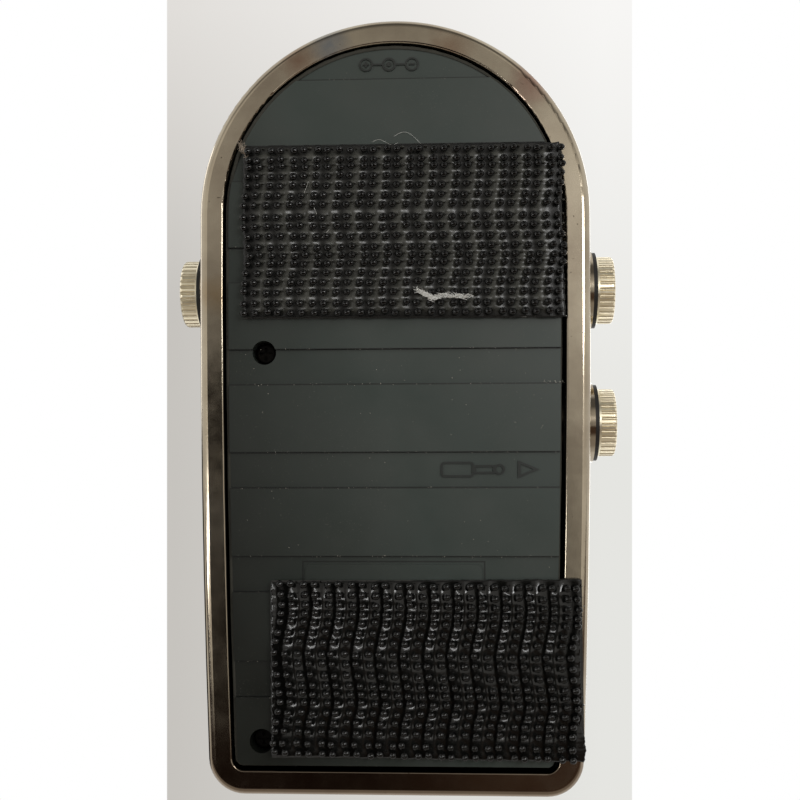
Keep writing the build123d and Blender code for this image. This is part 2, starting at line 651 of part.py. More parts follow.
# Pan-head screws go up through the wells into the deck's posts.
with BuildPart() as plate_screws:
    head_z = WELL_TOP - WELL_FLOOR
    for screw_x, screw_y in PLATE_SCREW_PLACES:
        with BuildSketch(Plane.XY.offset(head_z)):
            with Locations((screw_x, screw_y)):
                Circle(SCREW_HEAD / 2)
        head = extrude(amount=-SCREW_HEAD_HEIGHT)
        with BuildSketch(Plane.XY.offset(head_z)):
            with Locations((screw_x, screw_y)):
                Circle(SCREW_SHANK / 2)
        extrude(amount=SCREW_LENGTH)
    fillet(plate_screws.edges().group_by(Axis.Z)[0], 0.6)
    for screw_x, screw_y in PLATE_SCREW_PLACES:
        cross_recess(Plane(origin=(screw_x, screw_y, head_z - SCREW_HEAD_HEIGHT), z_dir=(0, 0, -1)))
write(plate_screws, "plate_screws")

# Countersunk screws go down through the deck into the frame's lugs.
with BuildPart() as deck_screws:
    for screw_x, screw_y in DECK_SCREW_PLACES:
        with BuildSketch(Plane(origin=(screw_x, screw_y, FRAME_TOP - 0.2))):
            Circle(SCREW_HEAD / 2)
        extrude(amount=-(SCREW_HEAD - SCREW_SHANK) / 2, taper=45)
        with BuildSketch(Plane(origin=(screw_x, screw_y, FRAME_TOP - 0.2))):
            Circle(SCREW_SHANK / 2)
        extrude(amount=-SCREW_LENGTH)
        cross_recess(Plane(origin=(screw_x, screw_y, FRAME_TOP - 0.2)))
write(deck_screws, "deck_screws")

# Two strips of hook fastener are stuck under the bottom plate: foam adhesive, a backing and a field of hooks.
for end, strip in STRIPS.items():
    strip_plane = Plane(origin=(*strip["place"], RIM_Z)).rotated((0, 0, strip["turn"]))
    strip_width, strip_length = strip["size"]
    with BuildPart() as strip_adhesive:
        with BuildSketch(strip_plane):
            Rectangle(strip_width, strip_length)
        extrude(amount=-ADHESIVE)
    write(strip_adhesive, f"{end}_strip_adhesive")

    with BuildPart() as hook_strip:
        with BuildSketch(strip_plane.offset(-ADHESIVE)):
            Rectangle(strip_width, strip_length)
        extrude(amount=-STRIP_BACKING)
        with BuildSketch(strip_plane.offset(-ADHESIVE - STRIP_BACKING)):
            Rectangle(strip_width - 2 * HOOK_MARGIN, strip_length - 2 * HOOK_MARGIN)
        extrude(amount=-HOOK_HEIGHT)
    write(hook_strip, f"{end}_hook_strip")

# ---- jacks ---------------------------------------------------------------------------------------

for name, (jack_side, jack_y) in JACKS.items():
    depth, width, height = JACK_BODY
    bore_depth = NUT_FACE_X - JACK_SEAT_X + depth - JACK_BORE_END_WALL
    slot_x = JACK_SEAT_X - depth / 2

    # The body is a moulded box with a threaded nose, bored for the plug and slotted for the contacts.
    with BuildPart() as jack_body:
        with BuildSketch(jack_plane(jack_side, jack_y, JACK_SEAT_X)):
            RectangleRounded(width, height, 0.6)
        extrude(amount=-depth)
        with BuildSketch(jack_plane(jack_side, jack_y, JACK_SEAT_X)):
            Circle(JACK_THREAD / 2)
        extrude(amount=NUT_FACE_X - NUT_NOSE_RECESS - JACK_SEAT_X)
        with BuildSketch(jack_plane(jack_side, jack_y, NUT_FACE_X)):
            Circle(JACK_BORE / 2)
        extrude(amount=-bore_depth, mode=Mode.SUBTRACT)
        for up in (-1, 1):
            with BuildSketch(jack_plane(jack_side, jack_y, slot_x)):
                with Locations((0, up * (JACK_BORE / 2 + CONTACT_STRIP[2]))):
                    Rectangle(CONTACT_STRIP[1] + 0.4, CONTACT_STRIP[2] + 1.2)
            extrude(amount=CONTACT_STRIP[0] / 2 + 0.2, both=True, mode=Mode.SUBTRACT)
        for pin in CONTACT_PINS:
            with BuildSketch(Plane(origin=(jack_side * (JACK_SEAT_X - pin), jack_y, BOARD_TOP))):
                Rectangle(PIN_SECTION[0] + 0.1, PIN_SECTION[1] + 0.1)
            extrude(amount=height / 2 - JACK_BORE / 2 - CONTACT_STRIP[2] * 1.5, mode=Mode.SUBTRACT)
    write(jack_body, f"{name}_jack_body")

    # Two spring strips lie above and below the plug, and three pins go down into the board.
    with BuildPart() as jack_contacts:
        for up in (-1, 1):
            with BuildSketch(jack_plane(jack_side, jack_y, slot_x)):
                with Locations((0, up * (JACK_BORE / 2 + CONTACT_STRIP[2]))):
                    Rectangle(CONTACT_STRIP[1], CONTACT_STRIP[2])
            extrude(amount=CONTACT_STRIP[0] / 2, both=True)
        for pin in CONTACT_PINS:
            with BuildSketch(Plane(origin=(jack_side * (JACK_SEAT_X - pin), jack_y, BOARD_Z - 1.0))):
                Rectangle(*PIN_SECTION)
            extrude(amount=BOARD_THICK + 1.0 + height / 2 - JACK_BORE / 2 - CONTACT_STRIP[2] * 1.5)
    write(jack_contacts, f"{name}_jack_contacts")

    with BuildPart() as jack_washer:
        with BuildSketch(jack_plane(jack_side, jack_y, JACK_FACE_X)):
            Circle(JACK_WASHER / 2)
            Circle(JACK_THREAD / 2 + JACK_THREAD_PLAY, mode=Mode.SUBTRACT)
        extrude(amount=JACK_WASHER_THICK)
    write(jack_washer, f"{name}_jack_washer")

    # The round nut has a plain flange, a grooved grip and a rounded outer edge.
    with BuildPart() as jack_nut:
        with BuildSketch(jack_plane(jack_side, jack_y, NUT_X)):
            Circle(NUT_DIAMETER / 2)
        extrude(amount=NUT_THICK)
        outer_face = jack_nut.faces().sort_by(Axis.X)[-1 if jack_side > 0 else 0]
        fillet(outer_face.edges(), 0.6)
        with BuildSketch(jack_plane(jack_side, jack_y, NUT_X + NUT_FLANGE_THICK)):
            with PolarLocations(NUT_DIAMETER / 2 + NUT_GROOVE * 0.3, NUT_GROOVES):
                Circle(NUT_GROOVE)
        extrude(amount=NUT_THICK, mode=Mode.SUBTRACT)
        with BuildSketch(jack_plane(jack_side, jack_y, NUT_X)):
            Circle(JACK_THREAD / 2 + JACK_THREAD_PLAY)
        extrude(amount=NUT_THICK, mode=Mode.SUBTRACT)
    write(jack_nut, f"{name}_jack_nut")

# ---- power inlet ---------------------------------------------------------------------------------

with BuildPart() as inlet_body:
    inlet_width, inlet_depth, inlet_height = INLET_BODY
    with BuildSketch(Plane.XZ.offset(-INLET_BACK_Y)):
        with Locations((0, BOARD_TOP + inlet_height / 2)):
            RectangleRounded(inlet_width, inlet_height, 0.5)
    extrude(amount=inlet_depth)
    with BuildSketch(Plane.XZ.offset(-INLET_FACE_Y)):
        with Locations((0, INLET_Z)):
            Circle(INLET_BARREL / 2)
    extrude(amount=INLET_FACE_Y - INLET_BACK_Y + 1.0)
    with BuildSketch(Plane.XZ.offset(-INLET_FACE_Y)):
        with Locations((0, INLET_Z)):
            Circle(INLET_BORE / 2)
    extrude(amount=INLET_BORE_DEPTH, mode=Mode.SUBTRACT)
    with BuildSketch(Plane.XZ.offset(-INLET_FACE_Y + INLET_BORE_DEPTH)):
        with Locations((0, INLET_Z)):
            Circle(INLET_PIN / 2)
    extrude(amount=3.0, mode=Mode.SUBTRACT)
write(inlet_body, "power_inlet_body")

with BuildPart() as inlet_pin:
    with BuildSketch(Plane.XZ.offset(-INLET_FACE_Y + INLET_PIN_RECESS)):
        with Locations((0, INLET_Z)):
            Circle(INLET_PIN / 2)
    extrude(amount=INLET_BORE_DEPTH - INLET_PIN_RECESS + 3.0)
    fillet(inlet_pin.faces().sort_by(Axis.Y)[-1].edges(), INLET_PIN * 0.35)
write(inlet_pin, "power_inlet_pin")

# ---- circuit board -------------------------------------------------------------------------------

with BuildPart() as circuit_board:
    with BuildSketch(Plane.XY.offset(BOARD_Z)):
        inner_face(BOARD_EDGE_GAP)
        with Locations((0, (BOARD_HEEL_Y - CASE_LENGTH / 2) / 2)):
            Rectangle(CASE_WIDTH, BOARD_HEEL_Y + CASE_LENGTH / 2, mode=Mode.SUBTRACT)
        with Locations(*[place for place in PLATE_SCREW_PLACES if place[1] > BOARD_HEEL_Y]):
            Circle(WELL_OUTER / 2 + BOARD_HOLE_GAP, mode=Mode.SUBTRACT)
        for jack_side, jack_y in JACKS.values():
            with Locations(*[(jack_side * (JACK_SEAT_X - pin), jack_y) for pin in CONTACT_PINS]):
                Circle(PIN_HOLE / 2, mode=Mode.SUBTRACT)
    extrude(amount=BOARD_THICK)
write(circuit_board, "circuit_board")

with BuildPart() as board_chips:
    with BuildSketch(Plane.XY.offset(BOARD_TOP)):
        with Locations(*CHIPS):
            Rectangle(*CHIP_SIZE[:2])
    extrude(amount=CHIP_SIZE[2])
write(board_chips, "board_chips")

with BuildPart() as board_capacitors:
    inlet_cap_y = INLET_BACK_Y - INLET_BODY[1] - INLET_CAPACITOR[1]
    inlet_capacitor = (INLET_CAPACITOR[0], inlet_cap_y, *INLET_CAPACITOR[2:])
    for cap_x, cap_y, cap_radius, cap_height in [*CAPACITORS, inlet_capacitor]:
        with BuildSketch(Plane(origin=(cap_x, cap_y, BOARD_TOP))):
            Circle(cap_radius)
        extrude(amount=cap_height)
write(board_capacitors, "board_capacitors")

with BuildPart() as board_resistors:
    with BuildSketch(Plane.XY.offset(BOARD_TOP)):
        with Locations(*RESISTORS):
            Rectangle(*RESISTOR_SIZE[:2])
    extrude(amount=RESISTOR_SIZE[2])
write(board_resistors, "board_resistors")

with BuildPart() as wire_connector:
    with BuildSketch(Plane(origin=(CONNECTOR_X, CONNECTOR_Y, BOARD_TOP))):
        RectangleRounded(CONNECTOR[0], CONNECTOR[1], 0.4)
    extrude(amount=CONNECTOR[2])
write(wire_connector, "wire_connector")

# ---- potentiometer -------------------------------------------------------------------------------

with BuildPart() as pot_bracket:
    leaf_foot_z = POT_Z - POT_DIAMETER / 2
    with BuildSketch(axle_plane(BRACKET_X, POT_Y, 0)):
        with Locations((0, (leaf_foot_z + DECK_Z) / 2)):
            RectangleRounded(BRACKET_WIDTH, DECK_Z - leaf_foot_z, 1.0)
        with Locations((0, DECK_Z - BRACKET_THICK)):
            Rectangle(BRACKET_WIDTH, 2 * BRACKET_THICK)
    extrude(amount=BRACKET_THICK)
    with BuildSketch(Plane(origin=(BRACKET_X + BRACKET_FLANGE / 2, POT_Y, DECK_Z))):
        Rectangle(BRACKET_FLANGE, BRACKET_WIDTH)
    extrude(amount=-BRACKET_THICK)
    with BuildSketch(Plane.XY.offset(DECK_Z)):
        with Locations((BRACKET_X + BRACKET_FLANGE / 2, POT_Y)):
            Rectangle(BRACKET_FLANGE * 2, BRACKET_WIDTH * 2)
    extrude(amount=BRACKET_THICK * 2, mode=Mode.SUBTRACT)
    with BuildSketch(axle_plane(BRACKET_X, POT_Y, POT_Z)):
        Circle(POT_THREAD / 2 + POT_THREAD_PLAY)
    extrude(amount=BRACKET_THICK, mode=Mode.SUBTRACT)
    with BuildSketch(Plane.XY.offset(DECK_Z)):
        with Locations(*BRACKET_SCREW_PLACES):
            Circle(SCREW_SHANK / 2 + SCREW_CLEARANCE)
    extrude(amount=-BRACKET_THICK, mode=Mode.SUBTRACT)
write(pot_bracket, "pot_bracket")

with BuildPart() as bracket_screws:
    with BuildSketch(Plane.XY.offset(DECK_Z - BRACKET_THICK)):
        with Locations(*BRACKET_SCREW_PLACES):
            Circle(SCREW_HEAD / 2)
    extrude(amount=-SCREW_HEAD_HEIGHT)
    with BuildSketch(Plane.XY.offset(DECK_Z - BRACKET_THICK)):
        with Locations(*BRACKET_SCREW_PLACES):
            Circle(SCREW_SHANK / 2)
    extrude(amount=BRACKET_THICK + BRACKET_SCREW_BITE)
    head_z = DECK_Z - BRACKET_THICK - SCREW_HEAD_HEIGHT
    for screw_x, screw_y in BRACKET_SCREW_PLACES:
        cross_recess(Plane(origin=(screw_x, screw_y, head_z), z_dir=(0, 0, -1)))
write(bracket_screws, "bracket_screws")

# The bushing's thread goes through the bracket, and its flange lies against it.
with BuildPart() as pot_bushing:
    with BuildSketch(axle_plane(POT_FACE_X, POT_Y, POT_Z)):
        Circle(POT_DIAMETER / 2)
    extrude(amount=POT_FLANGE_THICK)
    with BuildSketch(axle_plane(POT_THREAD_END_X, POT_Y, POT_Z)):
        Circle(POT_THREAD / 2)
    extrude(amount=POT_FACE_X - POT_THREAD_END_X)
    with BuildSketch(axle_plane(POT_THREAD_END_X, POT_Y, POT_Z)):
        Circle(POT_SHAFT / 2 + RUNNING_GAP)
    extrude(amount=POT_WAFER_X - POT_THREAD_END_X, mode=Mode.SUBTRACT)
write(pot_bushing, "pot_bushing")

with BuildPart() as pot_washer:
    with BuildSketch(axle_plane(BRACKET_X - POT_WASHER, POT_Y, POT_Z)):
        Circle(POT_WASHER_DIAMETER / 2)
        Circle(POT_THREAD / 2 + POT_THREAD_PLAY, mode=Mode.SUBTRACT)
    extrude(amount=POT_WASHER)
write(pot_washer, "pot_washer")

with BuildPart() as pot_nut:
    with BuildSketch(axle_plane(POT_NUT_X, POT_Y, POT_Z)):
        RegularPolygon(POT_NUT_FLATS / 2, 6, major_radius=False)
        Circle(POT_THREAD / 2 + POT_THREAD_PLAY, mode=Mode.SUBTRACT)
    extrude(amount=POT_NUT)
write(pot_nut, "pot_nut")

with BuildPart() as pot_wafer:
    with BuildSketch(axle_plane(POT_WAFER_X, POT_Y, POT_Z)):
        Circle(POT_DIAMETER / 2)
        with Locations((WAFER_TAB[0] / 2, 0)):
            Rectangle(WAFER_TAB[0], WAFER_TAB[1])
        Circle(POT_SHAFT / 2 + 3 * RUNNING_GAP, mode=Mode.SUBTRACT)
    extrude(amount=POT_WAFER_THICK)
write(pot_wafer, "pot_wafer")

with BuildPart() as pot_lugs:
    with BuildSketch(axle_plane(POT_WAFER_X + (POT_WAFER_THICK - SOLDER_LUG[2]) / 2, POT_Y, POT_Z)):
        with Locations(*[(WAFER_TAB[0] + SOLDER_LUG[0] / 2, i * SOLDER_LUG_PITCH) for i in (-1, 0, 1)]):
            Rectangle(SOLDER_LUG[0], SOLDER_LUG[1])
    extrude(amount=SOLDER_LUG[2])
write(pot_lugs, "pot_lugs")

with BuildPart() as pot_can:
    with BuildSketch(axle_plane(POT_CAN_X, POT_Y, POT_Z)):
        Circle(POT_DIAMETER / 2)
    extrude(amount=POT_CAN_DEPTH)
    fillet(pot_can.faces().sort_by(Axis.X)[-1].edges(), 0.8)
    with BuildSketch(axle_plane(POT_CAN_X, POT_Y, POT_Z)):
        Circle(POT_DIAMETER / 2 - POT_CAN_WALL)
    extrude(amount=POT_CAN_DEPTH - POT_CAN_WALL, mode=Mode.SUBTRACT)
write(pot_can, "pot_can")

# Three wires run from the solder lugs to the connector on the board.
with BuildPart() as pot_wires:
    wire_x = POT_WAFER_X + POT_WAFER_THICK / 2
    wire_y = POT_Y + WAFER_TAB[0] + SOLDER_LUG[0]
    for i in (-1, 0, 1):
        wire_start = (wire_x, wire_y, POT_Z + i * SOLDER_LUG_PITCH)
        wire_end_x = CONNECTOR_X + i * CONNECTOR_PITCH
        wire_end = (wire_end_x, CONNECTOR_Y - CONNECTOR[1] / 2, BOARD_TOP + CONNECTOR[2] / 2)
        with BuildLine():
            Spline(wire_start, wire_end, tangents=[(0, 1, 0), (0, 1, 0)])
        with BuildSketch(Plane(origin=wire_start, z_dir=(0, 1, 0))):
            Circle(WIRE_DIAMETER / 2)
        sweep()
write(pot_wires, "pot_wires")

# The shaft, its rotor inside the can, and the pinion turn together.
with BuildPart() as pot_shaft:
    step_x = PINION_X + PINION_WIDTH + 0.3
    with BuildSketch(axle_plane(step_x, POT_Y, POT_Z)):
        Circle(POT_SHAFT / 2)
    extrude(amount=POT_CAN_X + ROTOR_THICK + 0.5 - step_x)
    with BuildSketch(axle_plane(PINION_X - 1.0, POT_Y, POT_Z)):
        Circle(PINION_SEAT / 2)
    extrude(amount=step_x - PINION_X + 1.0)
    with BuildSketch(axle_plane(POT_CAN_X + 0.5, POT_Y, POT_Z)):
        Circle(ROTOR_DIAMETER / 2)
    extrude(amount=ROTOR_THICK)
write(pot_shaft, "pot_shaft")

pinion_tooth = gear_tooth(PINION_RADIUS, PINION_RADIUS + PINION_ADDENDUM, PINION_ROOT)
with BuildPart() as pinion:
    with BuildSketch(axle_plane(PINION_X, POT_Y, POT_Z)):
        Circle(PINION_ROOT)
        with PolarLocations(0, PINION_TEETH, start_angle=MESH_ANGLE + 180 / PINION_TEETH):
            add(pinion_tooth)
        Circle(PINION_SEAT / 2, mode=Mode.SUBTRACT)
    extrude(amount=PINION_WIDTH)
write(pinion, "pinion")

with BuildPart() as pinion_clip:
    with BuildSketch(axle_plane(PINION_X, POT_Y, POT_Z)):
        Circle(PINION_ROOT - 0.3)
        Circle(PINION_SEAT / 2, mode=Mode.SUBTRACT)
        with Locations((0, -PINION_ROOT)):
            Rectangle(PINION_CLIP_MOUTH, 2 * PINION_ROOT, mode=Mode.SUBTRACT)
    extrude(amount=-PINION_CLIP_THICK)
write(pinion_clip, "pinion_clip")

# ---- pivot bushes and rubber stops ---------------------------------------------------------------

for name, side in (("left", -1), ("right", 1)):
    with BuildPart() as pivot_bush:
        with BuildSketch(axle_plane(side * EAR_INNER_X, PIVOT_Y, PIVOT_Z)):
            Circle(BUSH_OUTER)
            Circle(SHAFT_HOLE, mode=Mode.SUBTRACT)
        extrude(amount=side * EAR_WIDTH)
        with BuildSketch(axle_plane(side * EAR_INNER_X, PIVOT_Y, PIVOT_Z)):
            Circle(BUSH_OUTER + BUSH_FLANGE_STEP)
            Circle(SHAFT_HOLE, mode=Mode.SUBTRACT)
        extrude(amount=-side * BUSH_FLANGE)
    write(pivot_bush, f"{name}_pivot_bush")

for name, (bumper_x, bumper_y) in BUMPERS.items():
    facing = 1 if name == "toe" else -1
    far_edge_y = bumper_y + facing * BUMPER_DIAMETER / 2
    bumper_top = treadle_stop_height(far_edge_y, -facing * REST_TILT) - BUMPER_GAP
    with BuildPart() as bumpers:
        with BuildSketch(Plane.XY.offset(FRAME_TOP)):
            with Locations((-bumper_x, bumper_y), (bumper_x, bumper_y)):
                Circle(BUMPER_DIAMETER / 2)
        extrude(amount=bumper_top - FRAME_TOP)
        fillet(bumpers.edges().group_by(Axis.Z)[-1], BUMPER_ROUND)
        with BuildSketch(Plane.XY.offset(FRAME_TOP)):
            with Locations((-bumper_x, bumper_y), (bumper_x, bumper_y)):
                Circle(BUMPER_STEM / 2)
        extrude(amount=-DECK_THICK)
    write(bumpers, f"{name}_bumpers")

# ---- treadle -------------------------------------------------------------------------------------

# The treadle is one casting: a plate with a skirt round it, two hubs for the shaft, a rib for the quadrant.
with BuildPart() as treadle:
    with BuildSketch(treadle_plane(-PIVOT_Y, UNDERSIDE - SKIRT_DEPTH)):
        tread_face(0)
    extrude(amount=TREADLE_PLATE + SKIRT_DEPTH)
    top_edges = treadle.faces().filter_by(treadle_plane()).sort_by(Axis.Z)[-1].edges()
    fillet(top_edges, TREADLE_EDGE_ROUND)
    with BuildSketch(treadle_plane(-PIVOT_Y, UNDERSIDE - SKIRT_DEPTH)):
        tread_face(SKIRT_WALL)
    extrude(amount=SKIRT_DEPTH, mode=Mode.SUBTRACT)
    with BuildSketch(treadle_plane(-PIVOT_Y, TREADLE_TOP)):
        tread_face(PAD_MARGIN)
    extrude(amount=-PAD_RECESS, mode=Mode.SUBTRACT)
    for side in (-1, 1):
        with BuildSketch(treadle_side_plane(side * HUB_OUTER_X)):
            Circle(HUB_RADIUS)
            with Locations((0, UNDERSIDE / 2 + 0.5)):
                Rectangle(2 * HUB_RADIUS, UNDERSIDE + 1.0)
        extrude(amount=-side * HUB_WIDTH)
    with BuildSketch(treadle_side_plane(QUADRANT_THICK / 2)):
        with Locations(((QUADRANT_TAB[0] - HUB_RADIUS) / 2 - 2.0, UNDERSIDE / 2 + 1.0)):
            Rectangle(-HUB_RADIUS - QUADRANT_TAB[0] + 4.0, UNDERSIDE)
    extrude(amount=RIB_WIDTH)
    with BuildSketch(treadle_side_plane(-CASE_WIDTH / 2)):
        Circle(SHAFT_HOLE)
    extrude(amount=CASE_WIDTH, mode=Mode.SUBTRACT)
    with BuildSketch(treadle_plane(0, -HUB_RADIUS)):
        with Locations(*[(side * (HUB_OUTER_X - HUB_WIDTH / 2), 0) for side in (-1, 1)]):
            Circle(GRUB_DIAMETER / 2)
    extrude(amount=HUB_RADIUS, mode=Mode.SUBTRACT)
    with BuildSketch(treadle_side_plane(QUADRANT_THICK / 2)):
        with Locations(*QUADRANT_SCREW_PLACES):
            Circle(QUADRANT_SCREW / 2)
    extrude(amount=RIB_WIDTH, mode=Mode.SUBTRACT)
write(treadle, "treadle")

with BuildPart() as tread_pad:
    with BuildSketch(treadle_plane(-PIVOT_Y, TREADLE_TOP - PAD_RECESS)):
        tread_face(PAD_MARGIN + PAD_GAP)
    extrude(amount=PAD_THICK)
    with BuildSketch(treadle_plane(-PIVOT_Y, TREADLE_TOP - PAD_RECESS + PAD_THICK)):
        with Locations(*[(0, y) for y in CHANNEL_PLACES]):
            Rectangle(CASE_WIDTH, CHANNEL_WIDTH)
        with Locations((0, TOE_Y - TOE_BAND / 2)):
            Rectangle(CASE_WIDTH, TOE_BAND)
    extrude(amount=-CHANNEL_DEPTH, mode=Mode.SUBTRACT)
write(tread_pad, "tread_pad")

with BuildPart() as pivot_shaft:
    with BuildSketch(axle_plane(-SHAFT_HALF, PIVOT_Y, PIVOT_Z)):
        Circle(SHAFT_DIAMETER / 2)
    extrude(amount=2 * SHAFT_HALF)
    chamfer(pivot_shaft.edges().group_by(Axis.X)[0] + pivot_shaft.edges().group_by(Axis.X)[-1], 0.3)
    for side in (-1, 1):
        with BuildSketch(axle_plane(side * (EAR_OUTER_X + CLIP_OFFSET), PIVOT_Y, PIVOT_Z)):
            Circle(SHAFT_DIAMETER / 2 + 1.0)
            Circle(SHAFT_DIAMETER / 2 - CLIP_GROOVE, mode=Mode.SUBTRACT)
        extrude(amount=side * CLIP_THICK, mode=Mode.SUBTRACT)
write(pivot_shaft, "pivot_shaft")

with BuildPart() as shaft_clips:
    for side in (-1, 1):
        with BuildSketch(axle_plane(side * (EAR_OUTER_X + CLIP_OFFSET), PIVOT_Y, PIVOT_Z)):
            Circle(CLIP_DIAMETER / 2)
            Circle(SHAFT_DIAMETER / 2 - CLIP_GROOVE, mode=Mode.SUBTRACT)
            with Locations((0, -CLIP_DIAMETER / 2)):
                Rectangle(CLIP_MOUTH, CLIP_DIAMETER, mode=Mode.SUBTRACT)
        extrude(amount=side * CLIP_THICK)
write(shaft_clips, "shaft_clips")

with BuildPart() as hub_grub_screws:
    for side in (-1, 1):
        grub_x = side * (HUB_OUTER_X - HUB_WIDTH / 2)
        with BuildSketch(treadle_plane(0, -SHAFT_DIAMETER / 2 - GRUB_LENGTH)):
            with Locations((grub_x, 0)):
                Circle(GRUB_DIAMETER / 2)
        extrude(amount=GRUB_LENGTH)
        with BuildSketch(treadle_plane(0, -SHAFT_DIAMETER / 2 - GRUB_LENGTH)):
            with Locations((grub_x, 0)):
                RegularPolygon(HEX_KEY / 2, 6, major_radius=False)
        extrude(amount=GRUB_LENGTH / 2, mode=Mode.SUBTRACT)
write(hub_grub_screws, "hub_grub_screws")

# The quadrant is a flat sector with teeth only where the travel needs them.
quadrant_tooth = gear_tooth(QUADRANT_RADIUS, QUADRANT_TIP, QUADRANT_ROOT)
with BuildPart() as quadrant_gear:
    mesh_direction = 180 + MESH_ANGLE
    sector_start = 180 + REST_TILT
    sector_end = mesh_direction + (TEETH_CUT - QUADRANT_END_TEETH) * TOOTH_ANGLE
    window_start = mesh_direction + TOOTH_ANGLE
    window_end = sector_end - 2.2 * TOOTH_ANGLE
    with BuildSketch(axle_plane(-QUADRANT_THICK / 2, PIVOT_Y, PIVOT_Z)):
        with BuildLine():
            rim_arc = CenterArc((0, 0), QUADRANT_ROOT, sector_start, sector_end - sector_start)
            Line(rim_arc @ 1, (0, 0))
            Line((0, 0), rim_arc @ 0)
        make_face()
        Circle(QUADRANT_HUB_RADIUS)
        with PolarLocations(
            0,
            TEETH_CUT,
            start_angle=mesh_direction - QUADRANT_END_TEETH * TOOTH_ANGLE,
            angular_range=(TEETH_CUT - 1) * TOOTH_ANGLE,
            endpoint=True,
        ):
            add(quadrant_tooth)
        with BuildLine():
            inner_arc = CenterArc((0, 0), QUADRANT_WINDOW[0], window_start, window_end - window_start)
            outer_arc = CenterArc((0, 0), QUADRANT_WINDOW[1], window_start, window_end - window_start)
            Line(inner_arc @ 1, outer_arc @ 1)
            Line(inner_arc @ 0, outer_arc @ 0)
        make_face(mode=Mode.SUBTRACT)
    extrude(amount=QUADRANT_THICK)
    with BuildSketch(treadle_side_plane(-QUADRANT_THICK / 2)):
        tab_top = UNDERSIDE - QUADRANT_TAB_TOP_GAP
        with Locations(((QUADRANT_TAB[0] + QUADRANT_TAB[1]) / 2, tab_top / 2)):
            Rectangle(QUADRANT_TAB[1] - QUADRANT_TAB[0], tab_top)
    extrude(amount=QUADRANT_THICK)
    with BuildSketch(treadle_side_plane(-QUADRANT_THICK / 2)):
        Circle(SHAFT_HOLE)
        with Locations(*QUADRANT_SCREW_PLACES):
            Circle(QUADRANT_SCREW / 2 + SCREW_CLEARANCE)
    extrude(amount=QUADRANT_THICK, mode=Mode.SUBTRACT)
write(quadrant_gear, "quadrant_gear")

with BuildPart() as quadrant_screws:
    for screw_place in QUADRANT_SCREW_PLACES:
        with BuildSketch(treadle_side_plane(-QUADRANT_THICK / 2)):
            with Locations(screw_place):
                Circle(QUADRANT_SCREW_HEAD / 2)
        extrude(amount=-QUADRANT_SCREW_HEAD_HEIGHT)
        with BuildSketch(treadle_side_plane(-QUADRANT_THICK / 2)):
            with Locations(screw_place):
                Circle(QUADRANT_SCREW / 2)
        extrude(amount=QUADRANT_THICK + RIB_WIDTH)
    with BuildSketch(treadle_side_plane(-QUADRANT_THICK / 2 - QUADRANT_SCREW_HEAD_HEIGHT)):
        with Locations(*QUADRANT_SCREW_PLACES):
            RegularPolygon(HEX_KEY, 6, major_radius=False)
    extrude(amount=QUADRANT_SCREW_HEAD_HEIGHT * 0.6, mode=Mode.SUBTRACT)
write(quadrant_screws, "quadrant_screws")
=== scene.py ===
"""Dresses the treadle volume pedal: its worn nickel casing, hook strips, nuts, lint and dust.

Everything is in metres on the frame's own axes: +Z up, +Y towards the round toe end. The pedal is looked at
from underneath, so the two hook strips and the bottom plate face the camera.
"""

import json
import math

import bpy
import numpy as np
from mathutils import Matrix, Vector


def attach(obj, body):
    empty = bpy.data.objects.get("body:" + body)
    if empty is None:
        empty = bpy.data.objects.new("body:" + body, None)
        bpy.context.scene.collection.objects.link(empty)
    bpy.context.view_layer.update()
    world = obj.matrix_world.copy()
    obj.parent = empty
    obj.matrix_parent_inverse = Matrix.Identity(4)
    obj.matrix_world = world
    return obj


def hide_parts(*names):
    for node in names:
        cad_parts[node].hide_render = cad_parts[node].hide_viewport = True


MM = 0.001
# The pedal's own sizes, in mm. The bottom plate's channels: the heel edge of one, their pitch and width
STEP_Y, STEP_PITCH, STEP_WIDTH = 3.40, 19.95, 6.8
# The heights at which the plate's moulded signs and its label's wall lie, and the label's middle and half size
SIGN_HEIGHTS = (3.44, 3.15)
LABEL = {"X": (0.2, 17.45), "Y": (-39.0, 8.30)}
# The nuts' axes: their places along the casing and their height
NUT_PLACES, NUT_HEIGHT = (23.2, -3.8), 18.0
# The height of the rim's face, and a line along its middle: how far out it runs at two places along the casing,
# where it crosses the heel end, and the radius of its corners
RIM_FACE = 3.0
RIM_PLACES, RIM_OUT = (-75.0, 20.0), (33.0, 34.8)
RIM_HEEL, RIM_CORNER = -72.6, 6.0
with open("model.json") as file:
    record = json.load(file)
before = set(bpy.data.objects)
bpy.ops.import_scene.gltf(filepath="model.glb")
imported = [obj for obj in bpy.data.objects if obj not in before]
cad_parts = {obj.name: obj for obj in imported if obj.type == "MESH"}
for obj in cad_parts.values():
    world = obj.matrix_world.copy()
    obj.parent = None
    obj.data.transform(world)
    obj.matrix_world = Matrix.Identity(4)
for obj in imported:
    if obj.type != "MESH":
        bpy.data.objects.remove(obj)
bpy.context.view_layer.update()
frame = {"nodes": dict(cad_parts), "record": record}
nodes = frame["nodes"]
random = np.random.default_rng(11)


# ---- node helpers --------------------------------------------------------------------------------


def colour(code):
    """An sRGB hex code as a linear RGBA tuple."""
    parts = [int(code[i : i + 2], 16) / 255 for i in (1, 3, 5)]
    return (*[p / 12.92 if p <= 0.04045 else ((p + 0.055) / 1.055) ** 2.4 for p in parts], 1.0)


def add(tree, kind, inputs=None, **settings):
    """Adds a node. Its inputs are given as values, or as sockets to link from."""
    made = tree.nodes.new(kind)
    for name, value in settings.items():
        setattr(made, name, value)
    for name, value in (inputs or {}).items():
        if isinstance(value, bpy.types.NodeSocket):
            tree.links.new(value, made.inputs[name])
        else:
            made.inputs[name].default_value = value
    return made


